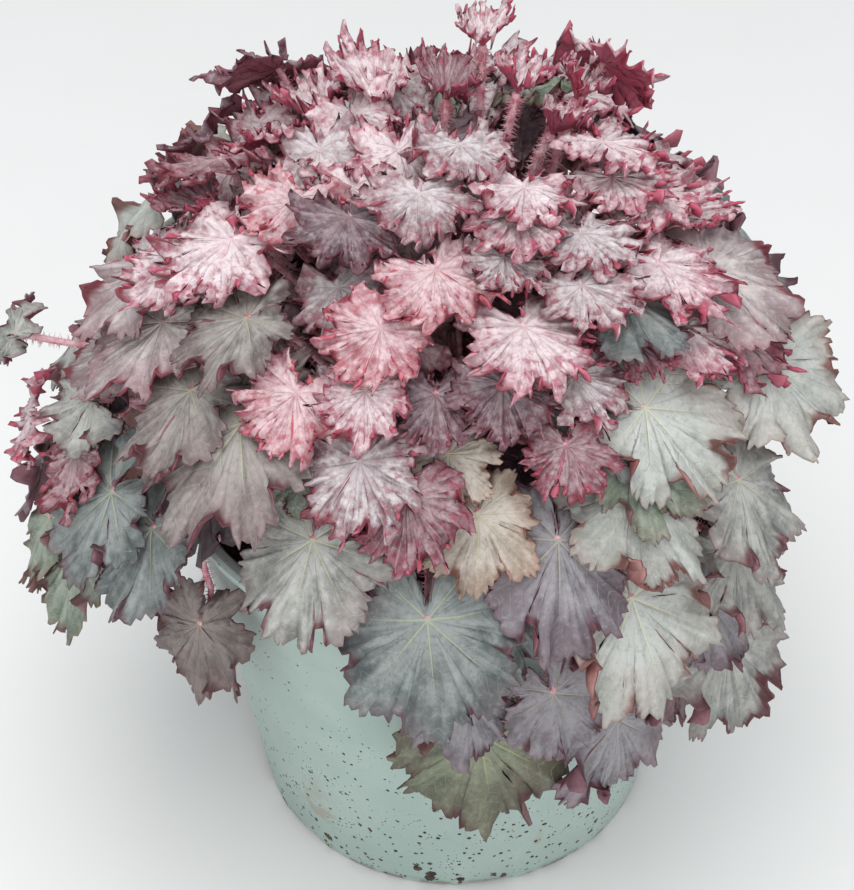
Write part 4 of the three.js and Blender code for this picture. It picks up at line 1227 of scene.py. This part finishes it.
def whole_outline(leaf):
    """The rim all round, spoke by spoke: points, arc positions and angles."""
    halves = zip(half_outline(leaf, 0), half_outline(leaf, 1), ((1, -1), -1, -1))
    return [np.concatenate([one, (other * sign)[-2:0:-1]]) for one, other, sign in halves]


print("outline samples", len(whole_outline(large[0])[0]))


# %% Keep overlapping blades apart
def surface(leaf, ways):
    """How far from the middle the blade's plain form lies in some directions, and where it does."""
    x, y, facing, met = leaf.locate(ways)
    height = leaf.level + leaf.tilt_along * x + leaf.tilt_across * y + leaf.form(x, y)
    return (leaf.reach + height) / np.maximum(facing, 0.5), met


def part_blades(leaf, placed):
    """Presses ruffled points back where they would reach into a blade above or below."""
    away = placed - CENTRE
    distance = np.linalg.norm(away, axis=1)
    ways = away / distance[:, None]
    own, _ = surface(leaf, ways)
    for other in leaves + inner:
        if other is leaf or other.out @ leaf.out < math.cos((other.size + leaf.size + 4) / 110):
            continue
        theirs, met = surface(other, ways)
        middle = (own + theirs) / 2
        distance = np.where(met & (theirs > own), np.minimum(distance, middle - 0.1), distance)
        distance = np.where(met & (theirs < own), np.maximum(distance, middle + 0.7), distance)
    return CENTRE + ways * distance[:, None]


print("blades to keep apart", len(leaves + inner))


# %% The flat blade
class Flat:
    """A flat blade's points: share of the reach, arc along the rim, angle and nearest vein."""

    def __init__(self, leaf):
        blank = BLANKS[leaf.sort]
        rim, arc, angle = whole_outline(leaf)
        spoke = blank["spoke"]
        self.q, self.arc, self.angle = blank["q"], arc[spoke], angle[spoke]
        self.x, self.y = rim[spoke, 0] * self.q, rim[spoke, 1] * self.q
        axes = VEINS[leaf.kind]
        axes = np.radians(np.array([*axes, *(-v for v in axes[1:])], dtype=float))
        turned = (self.angle[:, None] - axes + math.pi) % (2 * math.pi) - math.pi
        self.aside = np.abs(turned).min(axis=1)
        self.reach = np.hypot(self.x, self.y)
        self.along, self.across = self.reach * np.cos(self.aside), self.reach * np.sin(self.aside)


print("flat points", len(Flat(large[0]).q))


# %% Ruffles, crumples and quilting
def ruffles(leaf, flat):
    """Heights of the waves that grow towards the margin, and the pull of its finest crisping."""
    margin = MARGIN[leaf.kind]
    wave = 2 * math.pi * (flat.arc / (leaf.size * margin["wave"]) + draw(leaf.n, 40))
    crisp = 2 * math.pi * (flat.arc / (leaf.size * margin["crisp_wave"]) + draw(leaf.n, 41))
    uneven = 0.65 + 0.35 * np.sin(flat.angle * 3 + 6 * draw(leaf.n, 45))
    height = uneven * (margin["ruffle"] * flat.q ** 3.6 * np.sin(wave)
                       + margin["crisp"] * flat.q ** 6.6 * np.sin(crisp))
    return height, flat.q ** 6 * np.cos(crisp)


def crumples(leaf, flat):
    """Small uneven puckers all over the blade."""
    margin = MARGIN[leaf.kind]
    grain = 2 * math.pi / (leaf.size * margin["grain"])
    u, v = grain * flat.x, grain * flat.y
    one = np.sin(u + 9 * draw(leaf.n, 46) + 1.7 * np.sin(0.6 * v))
    other = np.sin(v + 9 * draw(leaf.n, 47) + 1.7 * np.sin(0.7 * u))
    return margin["crumple"] * np.clip(2.2 * flat.q, 0, 1) * one * other


def quilting(leaf, flat):
    """The blade swells between its main veins, and they lie in grooves."""
    between = np.clip(flat.aside / math.radians(MARGIN[leaf.kind]["lobe"]), 0, 1)
    swell = np.sin(between * math.pi / 2) * np.sin(math.pi * np.clip(flat.q, 0, 1))
    groove = np.exp(-(flat.across / (0.03 * leaf.size)) ** 2) * np.clip(
        1.1 - flat.q, 0, 1) * np.clip(flat.q * 6, 0, 1)
    return 0.3 * swell - 0.35 * groove


print("ruffle height", round(float(ruffles(large[0], Flat(large[0]))[0].max()), 2))


# %% Rolled edges and drawn hollows
def rolled_edge(leaf, flat):
    """Share of the edge's curl, its slow sweep round the leaf, and the places rolled over."""
    edge = np.clip((flat.q - 0.66) / 0.34, 0, 1) ** 2
    sweep = np.sin(flat.angle * (1.5 + 2 * draw(leaf.n, 43)) + 6.3 * draw(leaf.n, 44))
    rolls = np.zeros(len(flat.q))
    for i in range(6):
        middle = math.radians(320 * (draw(leaf.n, 80 + i) - 0.5))
        broad = math.radians(7 + 9 * draw(leaf.n, 86 + i))
        rolls += (1.9 * draw(leaf.n, 92 + i) - 0.7) * np.exp(-((flat.angle - middle) / broad) ** 2)
    return edge, sweep, np.clip(rolls, -0.8, 1.2) * edge


def drawn_hollows(leaf, flat):
    """How far the hollows between the lobes are drawn together."""
    clefts = np.radians(np.array(CLEFTS[leaf.kind][:-1]))
    wide = math.radians(MARGIN[leaf.kind]["pit_wide"])
    pit = np.zeros(len(flat.q))
    for i, cleft in enumerate([*clefts, *-clefts]):
        pit += (0.3 + 0.9 * draw(leaf.n, 100 + i)) * np.exp(-((flat.angle - cleft) / wide) ** 2)
    return pit * np.clip((flat.q - 0.7) / 0.3, 0, 1) ** 1.2


print("deepest hollow", round(float(drawn_hollows(large[0], Flat(large[0])).max()), 2))


# %% Shape a blade
def shaped(leaf, flat):
    """Places of the blade's points, how folded it is there, and how curled."""
    margin = MARGIN[leaf.kind]
    k = leaf.size / margin["usual"]
    ruffle, crisp = ruffles(leaf, flat)
    crumple, quilt, pit = crumples(leaf, flat), quilting(leaf, flat), drawn_hollows(leaf, flat)
    edge, sweep, rolls = rolled_edge(leaf, flat)
    turned = margin["turned"] * edge * (sweep - 0.2) + margin["rolled"] * rolls
    height = k * (ruffle + quilt + turned + crumple + margin["pit"] * pit)
    shrink = (1 - 0.05 * edge * np.abs(sweep) - margin["rolled_in"] * np.abs(rolls)
              - 0.12 * pit - margin["crisp_in"] * crisp)
    if leaf.kind == "c":
        funnel = np.clip(flat.reach / leaf.size, 0, 1) ** 0.8
        height += 0.34 * leaf.size * funnel
        shrink *= 1 - 0.36 * funnel
    sway = margin["sway"] * k * crisp
    x = (flat.x - sway * np.sin(flat.angle)) * shrink
    y = (flat.y + sway * np.cos(flat.angle)) * shrink
    # fold and curl go to the finish, which paints light and shade by them: crests lighter; troughs,
    # hollows and curls darker.
    fold = 0.5 + (0.45 * ruffle + quilt + 0.3 * turned + 1.5 * crumple) / margin["folds"]
    curl = pit + 0.8 * np.abs(rolls)
    return part_blades(leaf, leaf.points(x, y, height)), np.clip(fold, 0, 1), np.clip(curl, 0, 1)


print("mean fold", round(float(shaped(large[0], Flat(large[0]))[1].mean()), 2))


# %% Lay a blade
def fine_blade(leaf, name):
    """A copy of the blank with the leaf's outline, ruffles and relief, laid in its place."""
    flat = Flat(leaf)
    placed, fold, curl = shaped(leaf, flat)
    mesh = BLANKS[leaf.sort]["mesh"].copy()
    mesh.vertices.foreach_set("co", (placed * MM).ravel())
    loops = np.zeros(len(mesh.loops), dtype=int)
    mesh.loops.foreach_get("vertex_index", loops)
    for title, u, v in (("lobe", flat.along / leaf.size, flat.across / leaf.size),
                        ("margin", flat.q, flat.arc / 36)):
        layer = mesh.uv_layers.new(name=title)
        layer.data.foreach_set("uv", np.stack([u[loops], v[loops]], axis=1).ravel())
    tone = np.full(len(flat.q), draw(leaf.n, 48))
    # fold and curl carry the painted light and shade of the blade's form; tone is the leaf's own
    # random tone.
    for title, values in (("fold", fold), ("curl", curl), ("tone", tone)):
        mesh.attributes.new(title, "FLOAT", "POINT").data.foreach_set("value", values)
    piece = bpy.data.objects.new(name, mesh)
    bpy.context.collection.objects.link(piece)
    return piece


# %% [markdown]
# ## Leaf finishes
# The upper skin carries a silver veil between green veins, and red pigment in the margin.
# Its colour also holds painted light and shade: lighter on the crests of the folds, darker in
# their troughs, and dark red in the hollows and curls. The underside is plum red with raised
# veins. The mix differs from leaf to leaf and with age, so one recipe is written once and given
# different colours.
# Patterns follow the blade through its own UV maps: "lobe" measures along and away from the
# nearest main vein, and "margin" runs from the stalk to the edge.

# %% What the blade tells its finish
def uv(finish, name):
    """A UV map of the blade, whole and as its two numbers."""
    split = finish.add("ShaderNodeUVMap", uv_map=name)
    parts = finish.tree.nodes.new("ShaderNodeSeparateXYZ")
    finish.feed(parts.inputs[0], split)
    return split, parts.outputs[0], parts.outputs[1]


def value_of(finish, name):
    return finish.add("ShaderNodeAttribute", attribute_name=name, out=2)


def vein_masks(finish, along, across):
    """The main vein, and the side veins that branch from it towards the tip."""
    width = finish.step(along, 0.0, 0.8, 0.017, 0.004)
    main = finish.times(finish.step(across, width, 0.0), finish.step(along, 0.75, 0.2))
    run = finish.times(finish.minus(along, finish.times(across, 1.05)), 7.5)
    wave = finish.sum("ABSOLUTE", finish.minus(finish.sum("FRACT", run), 0.5))
    side = finish.times(finish.step(wave, 0.07, 0.01), finish.step(along, 0.12, 0.22))
    return main, finish.times(side, finish.step(across, 0.2, 0.03))


def between(first, second, share):
    """A colour on the way from one to another."""
    return shade(*(a + (b - a) * share for a, b in zip(first, second)))


def tuned(colour, gain, lift):
    return shade(*(min(255, c * gain + lift) for c in colour))


print("between white and black", between((255, 255, 255), (0, 0, 0), 0.5)[0])

# %% Upper skin
YOUNG_SKINS = ("rose", "ash", "salmon", "magenta", "crimson", "plum")


def upper_skin(name, deep, light, vein, margin, pit):
    """The upper side of a leaf: a silver veil, veins, a red margin, and painted light and shade of
    its folds, hollows and puffs.
    """
    young = name in YOUNG_SKINS
    skin = Finish(name + "_upper")
    where = skin.place()
    lobe, along, across = uv(skin, "lobe")
    _, reach, _ = uv(skin, "margin")
    main, side = vein_masks(skin, along, across)
    cloud = skin.noise(where, 190.0 if young else 105.0, 6.0, 0.68)
    uneven = skin.minus(cloud, 0.5)
    fleck = skin.noise(where, 620.0, 3.0, 0.6)
    colour = veiled(skin, reach, cloud, shade(*deep), shade(*light))
    flush = skin.step(skin.plus(skin.noise(where, 34.0, 3.0), skin.times(
        skin.minus(reach, 0.55), 0.5)), 0.46, 0.84)
    rim = skin.step(skin.plus(reach, skin.times(uneven, 0.35)), 0.90, 1.08)
    for mask, amount, tint in (
            (flush, 0.7 if young else 0.42, between(margin, light, 0.35)),
            (skin.step(fleck, 0.54, 0.70), 0.22, tuned(light, 1, 30)),
            (skin.step(fleck, 0.46, 0.32), 0.30, tuned(deep, 0.8, 0)),
            (side, 0.26, shade(*vein)), (main, 0.72, shade(*vein)),
            (rim, 0.6 if young else 0.75, shade(*margin))):
        colour = skin.coat(colour, mask, amount, tint)
    if young:
        # Young blades: painted highlight on small puffs and painted red shade between them.
        colour = puff_light_and_shade(skin, where, reach, colour, between(margin, pit, 0.4), tuned(light, 0.9, 34))
    # Painted shade: the hollows and curled edges take a dark red.
    hollows = skin.step(skin.plus(value_of(skin, "curl"), skin.times(uneven, 0.9)), 0.16, 0.62)
    colour = skin.coat(colour, hollows, 0.9, shade(*pit))
    cells = skin.add("ShaderNodeTexVoronoi", lobe, None, 17.0, feature="SMOOTH_F1")
    height = skin.minus(skin.times(cells, -1.2), skin.plus(
        skin.times(main, 0.9), skin.times(side, 0.5)))
    relief = skin.bump(height, 0.0002, skin.bump(fleck, 0.00006))
    return skin.finish(colour, skin.step(cloud, 0.3, 0.7, 0.42, 0.60), relief)


def veiled(skin, reach, cloud, deep, light):
    """The silver veil: cloudy, worn towards the margin, and painted lighter on the folds' crests and
    darker in their troughs.
    """
    worn = skin.times(skin.minus(0.62, reach), 0.34)
    # The fold term is painted light and shade: lighter on crests, darker in troughs.
    folded = skin.plus(skin.times(value_of(skin, "fold"), 0.34),
                       skin.times(value_of(skin, "tone"), 0.14))
    veil = skin.plus(skin.plus(worn, skin.times(cloud, 0.8)), folded)
    return skin.blend(skin.step(veil, 0.40, 0.84), deep, light)


def puff_light_and_shade(skin, where, reach, colour, hollow, puff_highlight):
    """The young blade is blistered; its small puffs get a painted highlight and the space between
    them a red painted shade.
    """
    puffs = skin.noise(where, 430.0, 2.0, 0.5)
    outer = skin.step(reach, 0.25, 0.7, 0.2, 0.8)
    colour = skin.blend(skin.times(skin.step(puffs, 0.50, 0.34), outer), colour, hollow)
    return skin.coat(colour, skin.step(puffs, 0.54, 0.68), 0.5, puff_highlight)


print("young skins", len(YOUNG_SKINS))


# %% Underside
def under_skin(name, under, vein):
    """The underside of a leaf, with its veins raised."""
    gain, lift = (1.2, 22) if name in YOUNG_SKINS else (1.12, 14)
    under = [c * gain + lift for c in under]
    skin = Finish(name + "_under")
    _, along, across = uv(skin, "lobe")
    main, side = vein_masks(skin, along, across)
    cloud = skin.noise(skin.place(), 110.0, 4.0, 0.6)
    colour = skin.blend(skin.step(cloud, 0.3, 0.7), shade(*under), tuned(under, 0.75, 62))
    ridge = skin.most(main, skin.times(side, 0.6))
    colour = skin.coat(colour, ridge, 0.6, shade(*vein))
    relief = skin.bump(skin.plus(ridge, skin.times(cloud, 0.3)), 0.0004)
    return skin.finish(colour, 0.6, relief)


# %% The palette
# name: deep, light, vein, margin, and underside, which is also the dark red painted shade in hollows
# and curls
PALETTE = {
    "silver": ((116, 118, 114), (180, 181, 176), (202, 204, 170), (136, 108, 110), (92, 42, 50)),
    "pale": ((146, 150, 144), (190, 193, 188), (214, 214, 180), (156, 126, 116), (104, 54, 50)),
    "teal": ((80, 89, 89), (144, 151, 149), (176, 182, 152), (112, 88, 95), (72, 32, 42)),
    "mauve": ((92, 86, 92), (151, 148, 153), (182, 178, 160), (124, 90, 101), (80, 34, 46)),
    "dusk": ((98, 90, 89), (160, 155, 150), (178, 180, 146), (122, 84, 90), (86, 34, 44)),
    "olive": ((78, 84, 66), (136, 142, 120), (176, 182, 134), (100, 72, 66), (76, 38, 38)),
    "brown": ((88, 78, 76), (144, 134, 130), (170, 154, 130), (108, 68, 68), (74, 32, 36)),
    "green": ((98, 114, 96), (158, 168, 153), (198, 202, 162), (138, 108, 100), (88, 50, 48)),
    "straw": ((140, 128, 116), (196, 188, 177), (212, 206, 168), (164, 118, 100), (112, 70, 56)),
    "wine": ((80, 58, 64), (134, 108, 113), (156, 122, 118), (104, 54, 64), (78, 26, 38)),
    "rose": ((164, 126, 134), (222, 207, 210), (222, 190, 196), (188, 118, 132), (132, 34, 56)),
    "ash": ((142, 122, 126), (208, 199, 201), (208, 190, 192), (164, 112, 123), (118, 38, 54)),
    "salmon": ((170, 118, 126), (216, 190, 193), (220, 176, 180), (194, 116, 127), (140, 42, 58)),
    "magenta": ((112, 68, 78), (168, 142, 148), (184, 122, 135), (158, 78, 96), (112, 24, 44)),
    "crimson": ((112, 72, 81), (180, 152, 157), (174, 112, 122), (146, 70, 84), (104, 24, 40)),
    "plum": ((88, 66, 74), (148, 131, 136), (152, 112, 120), (120, 70, 83), (84, 24, 38)),
    "trim": ((134, 119, 121), (202, 193, 192), (206, 192, 180), (146, 82, 94), (112, 34, 48)),
    "shadow": ((46, 38, 43), (92, 78, 85), (104, 86, 88), (72, 46, 55), (56, 26, 34)),
}
LEAF_SKINS = {name: (upper_skin(name, *tones), under_skin(name, tones[4], tones[3]))
              for name, tones in PALETTE.items()}
print("leaf finishes", len(LEAF_SKINS) * 2)

# %% Stalk and hair finishes
rind = Finish("stalk_rind")
where = rind.place()
streak = rind.noise(where, 210.0, 4.0, 0.6)
tint = rind.blend(rind.step(streak, 0.3, 0.7), shade(190, 104, 121), shade(234, 198, 204))
tint = rind.blend(rind.step(rind.noise(where, 60.0), 0.66, 0.78, 0.0, 0.6), tint,
                  shade(176, 120, 82))
stalk_rind = rind.finish(tint, 0.5, rind.bump(streak, 0.0002))
down = Finish("stalk_hair")
where = down.place()
stalk_hair = down.finish(down.blend(down.noise(where, 300.0), shade(238, 214, 219), shade(
    252, 246, 246)), 0.65)
scale_bark = Finish("crown_scales")
where = scale_bark.place()
rough = scale_bark.noise(where, 260.0, 4.0, 0.65)
crown_scales = scale_bark.finish(scale_bark.blend(rough, shade(70, 36, 38), shade(
    140, 92, 82)), 0.75, scale_bark.bump(rough, 0.0006))
print("finishes", len(bpy.data.materials))


# %% [markdown]
# ## Put the leaves together
# Each large leaf is one piece: its blade and its hairy stalk. The blade gets its thickness
# from a Solidify modifier, which also closes the margin and gives the underside its own
# finish. The small leaves of one shoot are joined round their stubby crown.

# %% Large leaves
def thicken(piece, thickness):
    modifier = piece.modifiers.new("thickness", "SOLIDIFY")
    modifier.thickness = thickness * MM
    modifier.offset = -1
    modifier.material_offset = 1
    modifier.use_rim = True
    apply_all(piece)


def leafy_piece(name, members, extras=()):
    """Blades of the members, thickened together, then joined with their stalks."""
    skins, blades = [], []
    for i, leaf in enumerate(members):
        if leaf.finish not in skins:
            skins.append(leaf.finish)
        blade = fine_blade(leaf, f"{name}_blade_{i}")
        for skin in skins:
            for material in LEAF_SKINS[skin]:
                blade.data.materials.append(material)
        index = 2 * skins.index(leaf.finish)
        blade.data.polygons.foreach_set("material_index", [index] * len(blade.data.polygons))
        blades.append(blade)
    piece = join(blades, name)
    thicken(piece, 0.5)
    stalks = []
    for i, leaf in enumerate(members):
        stalk = bent_stalk(leaf, f"{name}_stalk_{i}")
        stalk.data.materials[0] = stalk_rind
        stalk.data.materials[1] = stalk_hair
        stalks.append(stalk)
    return join([piece, *stalks, *extras], name)


for i, leaf in enumerate(large):
    name = f"leaf_{i + 1:02d}"
    dress(leafy_piece("heuchera_" + name, [leaf]), OWNER[name], "leaf")
print("large leaves laid", len(large))


# %% Shoot crowns
def shoot_crown(foot, name):
    """A stubby crown clothed in scales: a circle drawn in and raised in steps."""
    clear()
    bpy.ops.mesh.primitive_circle_add(
        vertices=12, radius=3.4 * MM, fill_type="NGON",
        location=(foot[0] * MM, foot[1] * MM, (foot[2] - 9.8) * MM))
    crown = bpy.context.object
    crown.name = name
    bpy.ops.object.mode_set(mode="EDIT")
    bpy.ops.mesh.select_all(action="SELECT")
    middle = foot * MM
    radius, z = 3.4, -9.8
    for new_radius, new_z in ((4.6, -4), (4.8, 0), (4.0, 1.6), (4.5, 3.0), (3.2, 4.6), (3.7, 6.0),
                              (2.0, 8.2), (0.6, 9.6)):
        bpy.ops.mesh.extrude_region_move(
            TRANSFORM_OT_translate={"value": (0, 0, (new_z - z) * MM)})
        bpy.ops.transform.resize(value=(new_radius / radius, new_radius / radius, 1),
                                 center_override=(middle[0], middle[1], middle[2]))
        radius, z = new_radius, new_z
    bpy.ops.mesh.select_all(action="SELECT")
    bpy.ops.mesh.normals_make_consistent(inside=False)
    bpy.ops.object.mode_set(mode="OBJECT")
    only(crown)
    bpy.ops.object.shade_smooth()
    bpy.ops.object.transform_apply(location=True)
    crown.data.materials.append(crown_scales)
    return crown


# %% Small leaves on their shoots
for number, (foot, members) in sorted(shoots.items()):
    name = f"shoot_{number}"
    crown = shoot_crown(foot, f"crown_{number}")
    dress(leafy_piece("heuchera_" + name, members, [crown]), OWNER[name], "young_leaf")
print("shoots laid", len(shoots))

# %% Put the blanks away and measure
triangles = {piece.name: sum(len(face.vertices) - 2 for face in piece.data.polygons)
             for piece in bpy.data.objects if piece.type == "MESH" and (
                 piece.name.startswith("heuchera_") or piece in (pot, compost))}
print("triangles", sum(triangles.values()), "most in a piece", max(triangles.values()))
for spare in (bare, hairy, woolly, *(blank["object"] for blank in BLANKS.values())):
    bpy.data.objects.remove(spare)
